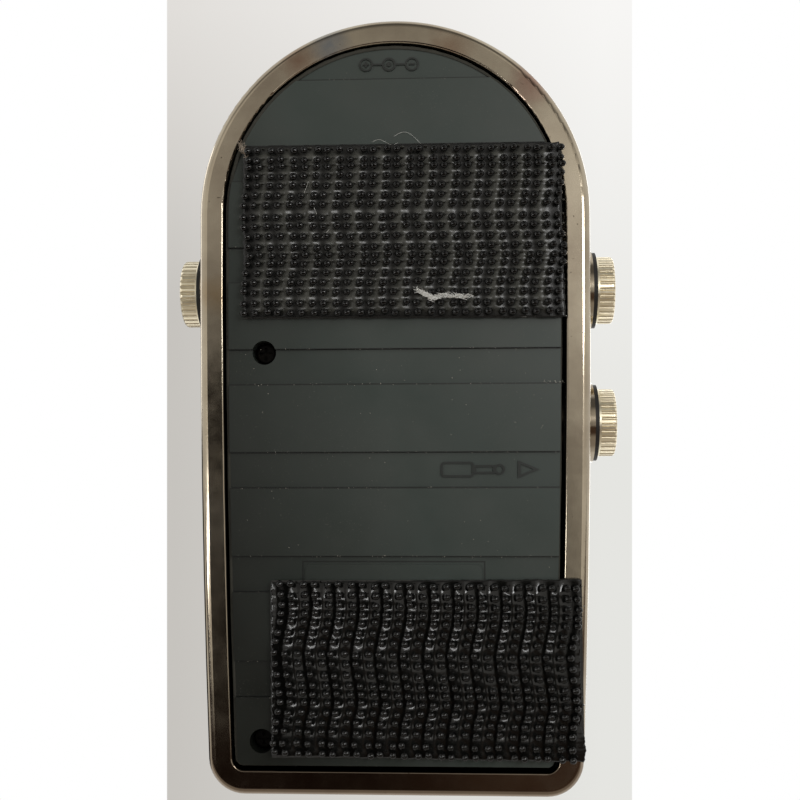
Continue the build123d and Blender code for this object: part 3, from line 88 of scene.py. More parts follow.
def finish_of(name, **constants):
    """A new material with one Principled shader: returns it, its tree, the shader and object coordinates."""
    made = bpy.data.materials.new(name)
    made.use_nodes = True
    tree = made.node_tree
    tree.nodes.clear()
    shader = add(tree, "ShaderNodeBsdfPrincipled", constants)
    add(tree, "ShaderNodeOutputMaterial", {"Surface": shader.outputs[0]})
    where = add(tree, "ShaderNodeTexCoord").outputs["Object"]
    return made, tree, shader, where


def noise(tree, where, size_mm, detail=3.0, rough=0.5):
    """Soft noise whose blobs are about size_mm across."""
    inputs = {"Vector": where, "Scale": 1 / (size_mm * MM), "Detail": detail, "Roughness": rough}
    return add(tree, "ShaderNodeTexNoise", inputs).outputs[0]


def span(tree, value, low, high, to_low=0.0, to_high=1.0):
    """Carries a value from one range to another, and holds it inside."""
    inputs = {"Value": value, "From Min": low, "From Max": high, "To Min": to_low, "To Max": to_high}
    return add(tree, "ShaderNodeMapRange", inputs, clamp=True).outputs[0]


def blend_colours(tree, share, first, second):
    """Two colours mixed by a share."""
    return add(tree, "ShaderNodeMix", {0: share, 6: first, 7: second}, data_type="RGBA").outputs[2]


def layered(tree, base, layers):
    """A colour with others laid over it in turn: each layer is a share and the hex code it turns to."""
    for share, code in layers:
        base = blend_colours(tree, share, base, colour(code))
    return base


def sums(tree, way, first, second):
    """One sum on two numbers."""
    return add(tree, "ShaderNodeMath", {0: first, 1: second}, operation=way).outputs[0]


def product(tree, first, *others):
    """All the shares multiplied."""
    for other in others:
        first = sums(tree, "MULTIPLY", first, other)
    return first


def size_of(tree, value):
    """A number without its sign."""
    return sums(tree, "ABSOLUTE", value, 0.0)


def apart(tree, value, place):
    """How far a number is from a place, either way."""
    return size_of(tree, sums(tree, "SUBTRACT", value, place))


def length_of(tree, first, second):
    """The root of the sum of two squares."""
    squares = [sums(tree, "MULTIPLY", side, side) for side in (first, second)]
    return sums(tree, "SQRT", sums(tree, "ADD", *squares), 0.0)


def parts_of(tree, where):
    """A vector's three parts."""
    return add(tree, "ShaderNodeSeparateXYZ", {0: where}).outputs


def dot(tree, where, axis):
    """How far a vector reaches along an axis."""
    return add(tree, "ShaderNodeVectorMath", {0: where, 1: axis}, operation="DOT_PRODUCT").outputs["Value"]


def bump(tree, height, depth_mm, strength):
    """Relief whose full height is depth_mm."""
    return add(tree, "ShaderNodeBump", {"Height": height, "Distance": depth_mm * MM, "Strength": strength}).outputs[0]


def wire(tree, shader, **sockets):
    """Links sockets to the shader's inputs, named with underscores for spaces."""
    for name, socket in sockets.items():
        tree.links.new(socket, shader.inputs[name.replace("_", " ")])


# ---- metals --------------------------------------------------------------------------------------


def rim_inner_shade(tree, across, along, height):
    """Where shade is painted on the rim's inner edge, beside the gap round the plate: inside the rim's middle line,
    above its face, below the arch.

    A point is past the line by the root of wide squared plus deep squared, less the corner's radius. wide and
    deep are how far it lies beyond the middle of a corner, to the side and to the heel, and never below zero."""
    corner = RIM_CORNER * MM
    middle = span(tree, along, *[edge * MM for edge in (*RIM_PLACES, *RIM_OUT)])
    wide = sums(tree, "SUBTRACT", size_of(tree, across), sums(tree, "SUBTRACT", middle, corner))
    deep = sums(tree, "SUBTRACT", RIM_HEEL * MM + corner, along)
    beyond = [sums(tree, "MAXIMUM", side, 0.0) for side in (wide, deep)]
    past = sums(tree, "SUBTRACT", length_of(tree, *beyond), corner)
    inside = span(tree, past, 0.3 * MM, -0.3 * MM)
    above = span(tree, height, (RIM_FACE + 0.01) * MM, (RIM_FACE + 0.08) * MM)
    below_arch = span(tree, along, 31 * MM, 28 * MM)
    below_deck = span(tree, height, 20 * MM, 18 * MM, 0.0, 0.9)
    return product(tree, inside, above, below_arch, below_deck)


def worn_nickel(name, base, dull, spots):
    """Dark nickel plate over a polished die casting: a warm satin mirror, clouded by handling, with few pits.

    A painted reflection browns the heel's foot, and painted shade darkens the rim's inner edge. spots holds (x, y,
    radius in mm, colour) for the larger stains."""
    made, tree, shader, where = finish_of(name, Metallic=1.0)
    cloud = span(tree, noise(tree, where, 16.0, 4.0, 0.6), 0.40, 0.68)
    tint = blend_colours(tree, cloud, colour(base), colour(dull))
    for x, y, radius, stain in spots:
        inputs = {0: where, 1: (x * MM, y * MM, RIM_FACE * MM)}
        far = add(tree, "ShaderNodeVectorMath", inputs, operation="DISTANCE").outputs["Value"]
        ragged = sums(tree, "MULTIPLY", noise(tree, where, 3.0, 4.0, 0.7), radius * MM)
        near = span(tree, sums(tree, "ADD", far, ragged), radius * 0.5 * MM, radius * 1.6 * MM, 0.7, 0.0)
        tint = blend_colours(tree, near, tint, colour(stain))
    across, along, height = parts_of(tree, where)
    # Painted reflection: the heel's foot is browned as if it mirrored the dark shapes beyond the heel
    heel_reflection = product(tree, span(tree, along, -60 * MM, -70 * MM, 0.0, 0.55), span(tree, height, 8 * MM, 5 * MM))
    pits = span(tree, noise(tree, where, 0.9, 1.0), 0.76, 0.81, 0.0, 0.8)
    # Painted shade: the dark band on the rim's inner edge (#1A1612). The pits are real wear.
    layers = [(heel_reflection, "#6A5548"), (rim_inner_shade(tree, across, along, height), "#1A1612"), (pits, "#4A3D30")]
    wire(tree, shader, Base_Color=layered(tree, tint, layers))
    smear = noise(tree, where, 6.0, 5.0, 0.6)
    wire(tree, shader, Roughness=span(tree, smear, 0.3, 0.75, 0.10, 0.19))
    wire(tree, shader, Normal=bump(tree, noise(tree, where, 3.0, 3.0), 0.010, 0.6))
    return made


def nut_brass():
    """Nickel-plated brass: warm and bright on the ribs, with painted shade making it duller and darker down in the
    grooves round the nuts.
    """
    made, tree, shader, where = finish_of("brass_nickel_plated", Metallic=1.0)
    _, along, height = parts_of(tree, where)
    up = sums(tree, "SUBTRACT", height, NUT_HEIGHT * MM)
    out = sums(tree, "MINIMUM", *[apart(tree, along, place * MM) for place in NUT_PLACES])
    lit_rib = span(tree, length_of(tree, up, out), 6.40 * MM, 6.72 * MM)
    # Painted shade: the grooves take the darker colour, the ribs the bright one
    wire(tree, shader, Base_Color=blend_colours(tree, lit_rib, colour("#CDBFA2"), colour("#FAF0D6")))
    grain = noise(tree, where, 0.8, 2.0)
    wire(tree, shader, Roughness=span(tree, grain, 0.3, 0.7, 0.28, 0.40))
    wire(tree, shader, Normal=bump(tree, grain, 0.006, 0.6))
    return made


def metal(name, base, rough, grain_mm=0.6, relief_mm=0.004, tarnish=None):
    """A machined or plated metal: its base colour, a fine grain in the gloss and a little tarnish."""
    made, tree, shader, where = finish_of(name, Metallic=1.0)
    cloud = span(tree, noise(tree, where, 4.0, 3.0), 0.45, 0.75)
    wire(tree, shader, Base_Color=blend_colours(tree, cloud, colour(base), colour(tarnish or base)))
    grain = noise(tree, where, grain_mm, 2.0)
    wire(tree, shader, Roughness=span(tree, grain, 0.3, 0.7, rough * 0.8, rough * 1.25))
    wire(tree, shader, Normal=bump(tree, grain, relief_mm, 0.6))
    return made


# ---- plastics, rubber and board ------------------------------------------------------------------


def moulded(name, base, rough, grain_mm, relief_mm, mottle="#000000", share=0.12, **constants):
    """A moulded plastic or rubber: even colour with a faint mottle, and the mould's fine texture as relief."""
    made, tree, shader, where = finish_of(name, **constants)
    cloud = span(tree, noise(tree, where, 9.0, 4.0, 0.6), 0.35, 0.75, 0.0, share)
    wire(tree, shader, Base_Color=blend_colours(tree, cloud, colour(base), colour(mottle)))
    grain = noise(tree, where, grain_mm, 2.0)
    wire(tree, shader, Roughness=span(tree, grain, 0.3, 0.7, rough - 0.06, rough + 0.06))
    wire(tree, shader, Normal=bump(tree, grain, relief_mm, 0.8))
    return made


def from_step(tree, along):
    """How far a point lies from the nearest edge of a channel: the channels repeat along the plate."""
    turn = sums(tree, "FLOORED_MODULO", sums(tree, "SUBTRACT", along, STEP_Y * MM), STEP_PITCH * MM)
    heel_edge = sums(tree, "MINIMUM", turn, sums(tree, "SUBTRACT", STEP_PITCH * MM, turn))
    return sums(tree, "MINIMUM", heel_edge, apart(tree, turn, STEP_WIDTH * MM))


def from_label(tree, split):
    """How far a point lies from the outline of the label's recess, a rectangle."""
    sides = []
    for axis, (middle, half) in LABEL.items():
        sides.append(sums(tree, "SUBTRACT", apart(tree, split[axis], middle * MM), half * MM))
    return size_of(tree, sums(tree, "MAXIMUM", *sides))


def plate_abs():
    """Glass-filled ABS moulded on a spark-eroded tool: dark green-grey and matt, with painted shade making it nearly
    black towards the player's right side and the heel.

    Painted shade darkens the channels' corners, the label's outline and the moulded signs' edges, and pale dust is
    caught along the steps. The shaded side is less glossy too."""
    made, tree, shader, where = finish_of("abs_spark_eroded_dark_grey")
    split = parts_of(tree, where)
    cloud = span(tree, noise(tree, where, 22.0, 4.0, 0.6), 0.35, 0.7)
    # Painted shade: darker and less glossy towards the player's right side and the heel
    shaded_side = span(tree, dot(tree, where, (-0.95, 0.3, 0.0)), -41 * MM, -2 * MM, 1.0, 0.0)
    wire(tree, shader, Specular_IOR_Level=span(tree, shaded_side, 0.0, 1.0, 0.5, 0.26))
    edge = from_step(tree, split["Y"])
    # Painted shade: dark lines in the channels' corners, round the label's outline and at the signs' edges
    outline = span(tree, from_label(tree, split), 0.08 * MM, 0.20 * MM, 0.85, 0.0)
    edge_shade = sums(tree, "MAXIMUM", span(tree, edge, 0.10 * MM, 0.22 * MM, 0.85, 0.0), outline)
    from_sign = sums(tree, "MINIMUM", *[apart(tree, split["Z"], level * MM) for level in SIGN_HEIGHTS])
    sign = span(tree, from_sign, 0.10 * MM, 0.12 * MM, 0.8, 0.0)
    near = span(tree, edge, 0.10 * MM, 0.45 * MM, 0.65, 0.10)
    patchy = span(tree, noise(tree, where, 9.0, 3.0), 0.45, 0.70)
    crumbs = span(tree, noise(tree, where, 0.35, 2.0, 0.6), 0.66, 0.74)
    dust = product(tree, crumbs, patchy, near)
    layers = [(shaded_side, "#191B17"), (sums(tree, "MAXIMUM", edge_shade, sign), "#101210"), (dust, "#B4AFA2")]
    tint = blend_colours(tree, cloud, colour("#2F3834"), colour("#363C38"))
    wire(tree, shader, Base_Color=layered(tree, tint, layers))
    wire(tree, shader, Roughness=span(tree, noise(tree, where, 7.0, 4.0), 0.3, 0.7, 0.34, 0.44))
    wire(tree, shader, Normal=bump(tree, noise(tree, where, 0.35, 2.0), 0.008, 0.6))
    return made


def hook_plastic():
    """Extruded polypropylene: glossy black heads over a backing that keeps its grey on the ridges, with painted shade
    darkening the valleys round the heads; the backing is greyer under the toe strip.
    """
    made, tree, shader, where = finish_of("polypropylene_extruded_black", **{"Specular IOR Level": 0.42})
    _, along, height = parts_of(tree, where)
    low = span(tree, height, 0.78 * MM, 0.90 * MM)
    ridge = span(tree, height, 1.68 * MM, 1.40 * MM)
    cloud = span(tree, noise(tree, where, 3.0, 5.0, 0.7), 0.35, 0.7, 0.55, 1.0)
    under_toe = span(tree, along, -20 * MM, 0.0)
    sheet = blend_colours(tree, under_toe, colour("#1B1B1A"), colour("#4C4C47"))
    # Painted shade: the backing turns nearly black in the valleys between the ridges
    sheet = blend_colours(tree, product(tree, ridge, cloud), colour("#0B0B0A"), sheet)
    wire(tree, shader, Base_Color=blend_colours(tree, low, colour("#020202"), sheet))
    wire(tree, shader, Roughness=span(tree, product(tree, low, under_toe), 0.0, 1.0, 0.12, 0.27))
    wire(tree, shader, Normal=bump(tree, noise(tree, where, 0.9, 3.0), 0.04, 0.4))
    return made


def fibre_dust(name, base):
    """Cotton lint or plaster dust: pale and quite without gloss."""
    made, tree, shader, where = finish_of(name, Roughness=0.9)
    wire(tree, shader, Base_Color=blend_colours(tree, noise(tree, where, 0.8), colour(base), colour("#B9B2A6")))
    return made


def epoxy_board():
    """Glass-epoxy board under green solder mask: glossy, with copper standing slightly proud.

    Cells of about 5.6 by 2.8 mm stand for the groups of tracks."""
    made, tree, shader, where = finish_of("fr4_solder_mask_green", Roughness=0.3)
    cell = add(tree, "ShaderNodeTexBrick", {"Vector": where, "Scale": 90.0, "Mortar Size": 0.02}).outputs["Fac"]
    wire(tree, shader, Base_Color=blend_colours(tree, cell, colour("#0F5A2C"), colour("#1B7A3E")))
    wire(tree, shader, Normal=bump(tree, cell, 0.03, 0.6))
    return made


stains = [
    (12.4, 70.0, 4.5, "#7F8A96"),
    (18.6, 67.0, 4.0, "#8A6A58"),
    (-11.0, 68.4, 5.0, "#9C7E68"),
    (-27.0, 62.0, 5.0, "#926A60"),
    (34.6, 21.0, 4.0, "#A08865"),
]
chrome = worn_nickel("nickel_plated_die_casting", "#B9AE9B", "#A09483", stains)
treadle_chrome = worn_nickel("nickel_plated_treadle", "#C4B9A6", "#A89C88", [(10.0, -30.0, 8.0, "#A9967E")])
materials = {
    "deck_paint": moulded("powder_coat_satin_black", "#2A2A2A", 0.42, 0.8, 0.02, "#3A3A38"),
    "plate_plastic": plate_abs(),
    "screw_black": metal("steel_black_oxide", "#141312", 0.5, tarnish="#1C1916"),
    "screw_zinc": metal("steel_bright_zinc", "#C9C8C2", 0.26, tarnish="#A8A59C"),
    "adhesive": moulded("acrylic_foam_tape_grey", "#2E2D2B", 0.75, 0.5, 0.03, "#45433D", 0.4),
    "hook_plastic": hook_plastic(),
    "jack_plastic": moulded("nylon_moulded_black", "#202021", 0.36, 0.6, 0.012, "#2E2E2E"),
    "contact_metal": metal("spring_bronze_tinned", "#CFC9BA", 0.24),
    "washer_black": moulded("vulcanised_fibre_black", "#181716", 0.55, 0.4, 0.02, "#2A2825"),
    "nut_nickel": nut_brass(),
    "board_green": epoxy_board(),
    "chip_black": moulded("epoxy_moulded_black", "#232323", 0.5, 0.3, 0.01, "#303030"),
    "capacitor_sleeve": moulded("pvc_sleeve_dark_blue", "#1A1F45", 0.3, 2.0, 0.02, "#101330"),
    "resistor_black": moulded("ceramic_chip_black", "#1C1C1E", 0.4, 0.3, 0.01, "#2C2C2E"),
    "connector_plastic": moulded("nylon_moulded_natural", "#E6E0CC", 0.42, 0.8, 0.01, "#D8CDB0", 0.3),
    "wire_insulation": moulded("pvc_extruded_red", "#A8201C", 0.35, 1.5, 0.01, "#801512", 0.3),
    "bracket_steel": metal("steel_sheet_zinc_plated", "#C6C6C4", 0.3, 1.5, 0.004, "#B0AEA6"),
    "pot_zinc": metal("zinc_die_cast_bright", "#BDBDBB", 0.32, 1.0, 0.006, "#A3A19C"),
    "wafer_brown": moulded("phenolic_paper_pressed", "#6B4527", 0.5, 0.8, 0.01, "#54331B", 0.4),
    "pinion_acetal": moulded("acetal_moulded_white", "#E9E7E0", 0.38, 1.0, 0.008, "#D8D4C8", 0.3),
    "quadrant_acetal": moulded("acetal_moulded_white_large", "#E6E4DC", 0.4, 1.0, 0.008, "#D2CEC2", 0.3),
    "shaft_steel": metal("steel_ground", "#B9B7B3", 0.2, 0.4, 0.003, "#9C9890"),
    "bush_bronze": metal("bronze_sintered", "#B08A55", 0.42, 0.5, 0.02, "#8A683C"),
    "stop_rubber": moulded("rubber_moulded_black", "#1E1E1E", 0.7, 0.6, 0.03, "#2C2B2A", 0.3),
    "pad_rubber": moulded("rubber_tread_black", "#222221", 0.66, 0.9, 0.05, "#34332F", 0.45),
}


def dress(node, material):
    """Gives a node's object one material."""
    node.data.materials.clear()
    node.data.materials.append(material)


slots = {part["node"]: part["material_slot"] for part in frame["record"]["subparts"]}
for name, node in nodes.items():
    dress(node, materials.get(slots[name], chrome))
dress(nodes["treadle"], treadle_chrome)


# ---- meshes worked out as arrays -----------------------------------------------------------------


def piece(name, points, faces, material, body, stands_for=(), smooth=True):
    """Makes one object from arrays of points (n, 3) in metres and faces (m, 4) or (m, 3)."""
    mesh = bpy.data.meshes.new(name)
    mesh.vertices.add(len(points))
    mesh.vertices.foreach_set("co", np.ascontiguousarray(points, dtype=np.float32).ravel())
    groups = faces if isinstance(faces, list) else [faces]
    corners = np.concatenate([f.ravel() for f in groups]).astype(np.int32)
    counts = np.concatenate([np.full(len(f), f.shape[1]) for f in groups])
    mesh.loops.add(len(corners))
    mesh.loops.foreach_set("vertex_index", corners)
    mesh.polygons.add(len(counts))
    starts = np.concatenate([[0], np.cumsum(counts)[:-1]]).astype(np.int32)
    mesh.polygons.foreach_set("loop_start", starts)
    mesh.update(calc_edges=True)
    mesh.validate()
    mesh.polygons.foreach_set("use_smooth", np.full(len(counts), smooth))
    made = bpy.data.objects.new(name, mesh)
    bpy.context.scene.collection.objects.link(made)
    mesh.materials.append(material)
    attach(made, body)
    if stands_for:
        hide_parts(*stands_for)
    return made


def grid_faces(rows, columns, wrap=False):
    """Quads between the points of a rows by columns grid. wrap joins the last column to the first."""
    across = columns if wrap else columns - 1
    row, column = np.meshgrid(np.arange(rows - 1), np.arange(across), indexing="ij")
    here, there = row * columns + column, row * columns + (column + 1) % columns
    return np.stack([here, there, there + columns, here + columns], -1).reshape(-1, 4)


def many(points, faces, places):
    """Copies one shape to many places. places is (n, k, 3): the shape's own points for each copy."""
    count, per = places.shape[0], points
    shifts = (np.arange(count) * per)[:, None, None]
    return places.reshape(-1, 3), [(f[None] + shifts).reshape(-1, f.shape[1]) for f in faces]


# ---- hook strips ---------------------------------------------------------------------------------

# A hook's outline from the crown of its head to the foot of its stem: radius and height in mm
HOOK = np.array(
    [(0.06, 0.02), (0.32, 0.06), (0.56, 0.18), (0.73, 0.39), (0.76, 0.54), (0.50, 0.72), (0.26, 0.78), (0.31, 1.75)]
)
# The low tongue of plastic left beside every pair where the hooks were slit
TONGUE = np.array([(0.05, 0.86), (0.26, 0.90), (0.44, 1.05), (0.50, 1.75)])
HOOK_SIDES = 9
# Pairs of hooks along a row, the two hooks of a pair, and the mean step from row to row
PAIR_PITCH, PAIR_GAP, ROW_PITCH = 4.498, 1.92, 1.859
# The backing's lower face, where the stems stand, and its upper face
BACKING_FACE, BACKING_TOP = 1.7, 2.4
BACKING_GRID = (140, 130)
# A tongue stands beside its pair and towards the toe, and none is left near the torn edge
TONGUE_ASIDE, TONGUE_AHEAD, TONGUE_LIMIT = -1.95, 0.42, -31.0
# Each strip: its corners in mm (toe left, toe right, heel right, heel left as seen from underneath), the
# middle of its field of hooks, the field's turn in degrees and its number of pairs, then how high its
# backing rises between the pairs and ripples with the rows, in mm, and how large its tongues are
STRIPS = {
    "toe": {
        "corners": [(29.2, 49.9), (-32.1, 49.7), (-32.95, 15.95), (28.95, 16.3)],
        "middle": (-1.78, 32.8),
        "turn": 0.1,
        "pairs": 14,
        "ridge": 0.34,
        "ripple": 0.10,
        "tongue": 0.9,
    },
    "heel": {
        "corners": [(23.6, -34.5), (-35.4, -33.8), (-35.7, -67.75), (23.3, -67.2)],
        "middle": (-6.2, -50.9),
        "turn": 0.85,
        "pairs": 13,
        "ridge": 0.52,
        "ripple": 0.03,
        "tongue": 0.4,
    },
}
# Distance from each row of hooks to the next, and how far each row has crept sideways, in mm
ROW_STEPS = {
    "toe": np.array([1.9, 1.3, 1.8, 1.8, 1.9, 1.75, 2.35, 1.8, 1.9, 2.0, 1.6, 1.5, 1.85, 1.8, 1.8, 2.1, 1.75]),
    "heel": np.array([2.1, 1.8, 1.75, 1.6, 2.0, 1.8, 2.25, 1.9, 2.15, 2.0, 1.55, 1.7, 1.9, 1.85, 1.85, 2.2, 1.85]),
}
ROW_CREEP = {
    "toe": np.array(
        [-0.32, -0.32, -0.48, -0.32, -0.15, 0.15, 0.48, 0.57, 0.38]
        + [-0.25, -0.48, -0.7, -0.42, -0.1, 0.32, 0.42, 0.38, 0.15]
    ),
    "heel": np.array(
        [0.0, -0.15, -0.35, -0.3, -0.1, 0.3, 0.7, 1.0, 0.8] + [0.5, 0.1, -0.1, -0.3, 0.0, 0.5, 0.7, 0.9, 0.6]
    ),
}
# How far the strip's right edge stands in from a straight cut, in mm, from its toe end to its heel end
TORN = {
    "toe": ([0, 0.3, 0.6, 1], [0.05, 0.25, 0.1, 0.0]),
    "heel": (
        [0, 0.1, 0.3, 0.55, 0.68, 0.77, 0.81, 0.83, 0.89, 0.95, 1],
        [0, 0.2, 0.4, 0.5, 0.3, 0.35, 0.8, 0.3, -0.1, -0.2, 0.25],
    ),
}


def turned(points, place, turn):
    """Turns points about Z by turn degrees, then shifts them to a place; all in mm."""
    c, s = math.cos(math.radians(turn)), math.sin(math.radians(turn))
    x, y = points[..., 0] * c - points[..., 1] * s, points[..., 0] * s + points[..., 1] * c
    return np.stack([x + place[0], y + place[1], points[..., 2]], -1)


def swept(profile, spots, size, lean):
    """A profile swept round an upright axis at every spot: radius times (cos, sin) of the turn, times size.

    It leans by lean for every mm above the foot. size and lean are (n, 1, 1, 2)."""
    turn = np.arange(HOOK_SIDES) * 2 * np.pi / HOOK_SIDES
    ring = np.stack([np.cos(turn), np.sin(turn)], -1)
    radius, height = profile[:, 0][None, :, None, None], profile[:, 1][None, :, None, None]
    flat = ring[None, None] * radius * size + lean * np.clip(BACKING_FACE - height, 0, None) + spots[:, None, None, :]
    tall = np.broadcast_to(height, (*flat.shape[:3], 1))
    shape = np.concatenate([flat, tall], -1).reshape(len(spots), -1, 3)
    cap = np.arange(HOOK_SIDES)[None, ::-1]
    faces = [grid_faces(len(profile), HOOK_SIDES, True)[:, ::-1], cap]
    return many(len(profile) * HOOK_SIDES, faces, shape)


def hook_field(rows, creep, pairs, tongue, seed):
    """Mushroom hooks in pairs along every row, with a low tongue beside each pair, about the field's middle."""
    chance = np.random.default_rng(seed)
    column = (np.arange(pairs) - (pairs - 1) / 2) * PAIR_PITCH
    x = (column[:, None] + np.array([-0.5, 0.5]) * PAIR_GAP).ravel()
    spots = np.stack(np.meshgrid(x, rows, indexing="xy"), -1).reshape(-1, 2)
    spots[:, 0] += np.repeat(creep, len(x))
    spots += chance.normal(0, 0.05, spots.shape)
    count = len(spots)
    size = chance.uniform(0.95, 1.05, (count, 1, 1, 1)) * np.array([1.0, 0.93])
    heads = swept(HOOK, spots, size, chance.normal(0, 0.06, (count, 1, 1, 2)))
    sides = np.stack(np.meshgrid(column + TONGUE_ASIDE, rows, indexing="xy"), -1).reshape(-1, 2)
    sides[:, 0] += np.repeat(creep, pairs)
    sides = sides[sides[:, 0] > TONGUE_LIMIT]
    sides[:, 1] += TONGUE_AHEAD
    sides += chance.normal(0, 0.08, sides.shape)
    size = chance.uniform(0.6, 1.15, (len(sides), 1, 1, 1)) * tongue * np.array([1.0, 0.42])
    tongues = swept(TONGUE, sides, size, np.zeros((len(sides), 1, 1, 2)))
    shift = len(heads[0])
    return np.concatenate([heads[0], tongues[0]]), heads[1] + [f + shift for f in tongues[1]]


def backing(kind, rows, creep):
    """The strip's backing, a thin sheet of two grids closed round the rim.

    A point is the four corners mixed by (1-u)(1-v), u(1-v), uv and (1-u)v. Its lower face rises to a ridge
    of (1/2 - 1/2 cos of the pair's phase)^1.5 between the pairs, and ripples with the rows."""
    across, along = BACKING_GRID
    u, v = np.meshgrid(np.linspace(0, 1, across), np.linspace(0, 1, along), indexing="xy")
    shares = np.stack([(1 - u) * (1 - v), u * (1 - v), u * v, (1 - u) * v], -1)
    skin = shares @ np.array(STRIPS[kind]["corners"])
    ragged = 0.08 * np.sin(skin[..., 1] * 3.1) + 0.05 * np.sin(skin[..., 1] * 7.7 + 1.0)
    skin[..., 0] += np.interp(v, *TORN[kind]) * u**8 + ragged * (u**8 + (1 - u) ** 8)
    skin[..., 1] += (0.08 * np.sin(skin[..., 0] * 0.9) + 0.05 * np.sin(skin[..., 0] * 2.7)) * (v**8 + (1 - v) ** 8)
    middle, turn = STRIPS[kind]["middle"], math.radians(STRIPS[kind]["turn"])
    x = (skin[..., 0] - middle[0]) * math.cos(turn) + (skin[..., 1] - middle[1]) * math.sin(turn)
    y = (skin[..., 1] - middle[1]) * math.cos(turn) - (skin[..., 0] - middle[0]) * math.sin(turn)
    crept = np.interp(y, rows[::-1], creep[::-1])
    phase = 2 * np.pi * (x - crept) / PAIR_PITCH + np.pi * (STRIPS[kind]["pairs"] % 2 == 0)
    row_phase = 2 * np.pi * np.interp(y, rows[::-1], np.arange(len(rows))[::-1])
    ridge = (0.5 - 0.5 * np.cos(phase)) ** 1.5
    inside = np.clip(12 * np.minimum(np.minimum(u, 1 - u), np.minimum(v, 1 - v)), 0, 1)
    ripple = STRIPS[kind]["ripple"] * (1 - np.cos(row_phase)) * (0.4 + 0.6 * ridge)
    low = BACKING_FACE - inside * (STRIPS[kind]["ridge"] * ridge + ripple)
    flat = skin.reshape(-1, 2)
    count = len(flat)
    lower = np.column_stack([flat, low.ravel()])
    upper = np.column_stack([flat, np.full(count, BACKING_TOP)])
    quads = grid_faces(along, across)
    rim = np.concatenate(
        [
            np.arange(across),
            np.arange(2, along + 1) * across - 1,
            (along - 1) * across + np.arange(across - 2, -1, -1),
            np.arange(along - 2, 0, -1) * across,
        ]
    )
    after = np.roll(rim, -1)
    wall = np.stack([rim, after, after + count, rim + count], -1)
    return np.concatenate([lower, upper]), np.concatenate([quads, quads[:, ::-1] + count, wall[:, ::-1]])


def rows_of(kind):
    """Where the strip's rows of hooks lie, from the toe side to the heel side, about its middle."""
    y = np.concatenate([[0], -np.cumsum(ROW_STEPS[kind])])
    return (y - (y[0] + y[-1]) / 2) * ROW_PITCH * (len(y) - 1) / (y[0] - y[-1])


for kind, strip in STRIPS.items():
    rows, creep = rows_of(kind), ROW_CREEP[kind]
    hook_points, hook_faces = hook_field(rows, creep, strip["pairs"], strip["tongue"], 5 if kind == "toe" else 6)
    slab_points, slab_faces = backing(kind, rows, creep)
    shift = len(hook_points)
    points = np.concatenate([turned(hook_points, strip["middle"], strip["turn"]), slab_points]) * MM
    faces = [*hook_faces, slab_faces + shift]
    piece(f"{kind}_hooks", points, faces, materials["hook_plastic"], "case", [f"{kind}_hook_strip"])


# ---- lint and dust -------------------------------------------------------------------------------

FIBRE_STEPS = 9
# The height that dust on the plate hangs from, just under its face
DUST_LEVEL = 2.99
# The dirt in the gap round the plate: how wide it is, how much wider towards the player's right and the toe,
# and a point's share of that width and its height, round the profile
DIRT_WIDTH, DIRT_WIDER = 0.42, np.array([0.16, 0.16])
DIRT_SHARE = np.array([-0.1, 0.45, 1.0, 1.0, -0.1])
DIRT_HEIGHT = np.array([3.14, 3.22, 3.16, 4.0, 4.0])
# How much deeper it lies at places along the casing, so that it doesn't close the ends of the channels
DIRT_DEEPER = ([44, 50, 60, 62], [0.58, 0.0, 0.0, 0.34])


def strands(name, paths, thick, material):
    """Fibres as three-sided tubes: every point of a path plus thick times (cos, sin) across it.

    paths is (n, k, 3) in mm."""
    ahead = np.gradient(paths, axis=1)
    ahead /= np.linalg.norm(ahead, axis=-1, keepdims=True) + 1e-9
    across = np.stack([-ahead[..., 1], ahead[..., 0], np.zeros(ahead.shape[:2])], -1)
    turn = np.arange(3) * 2 * np.pi / 3
    ring = np.cos(turn)[:, None] * across[:, :, None, :] + np.sin(turn)[:, None] * np.array([0, 0, 1.0])
    shape = (paths[:, :, None, :] + thick * ring).reshape(len(paths), -1, 3)
    shape[..., 2] = np.clip(shape[..., 2], 0.01, None)
    points, faces = many(paths.shape[1] * 3, [grid_faces(paths.shape[1], 3, True)], shape)
    return piece(name, points * MM, faces, material, "case")


def tangle(spine, count, reach, wander, low, high):
    """Curled fibres strewn along a spine of (x, y) points: a straight run plus two sine waves of chance size."""
    spine = np.array(spine, float)
    knots = np.linspace(0, 1, len(spine))
    start = random.uniform(0, 1, count)
    place = np.stack([np.interp(start, knots, spine[:, i]) for i in (0, 1)], -1)
    ahead = np.stack([np.interp(start + 0.05, knots, spine[:, i]) for i in (0, 1)], -1) - place
    angle = np.arctan2(ahead[:, 1], ahead[:, 0]) + random.normal(0, wander, count)
    t = np.linspace(-0.5, 0.5, FIBRE_STEPS)[None]
    length = random.uniform(0.5, 1.0, (count, 1)) * reach
    side = 0.14 * length * np.sin(t * random.uniform(2, 9, (count, 1)) + random.uniform(0, 6, (count, 1)))
    c, s = np.cos(angle)[:, None], np.sin(angle)[:, None]
    x = place[:, :1] + t * length * c - side * s
    y = place[:, 1:] + t * length * s + side * c
    z = random.uniform(low, high, (count, 1)) + 0.15 * np.sin(t * 5 + start[:, None] * 9)
    return np.stack([x, y, z], -1)


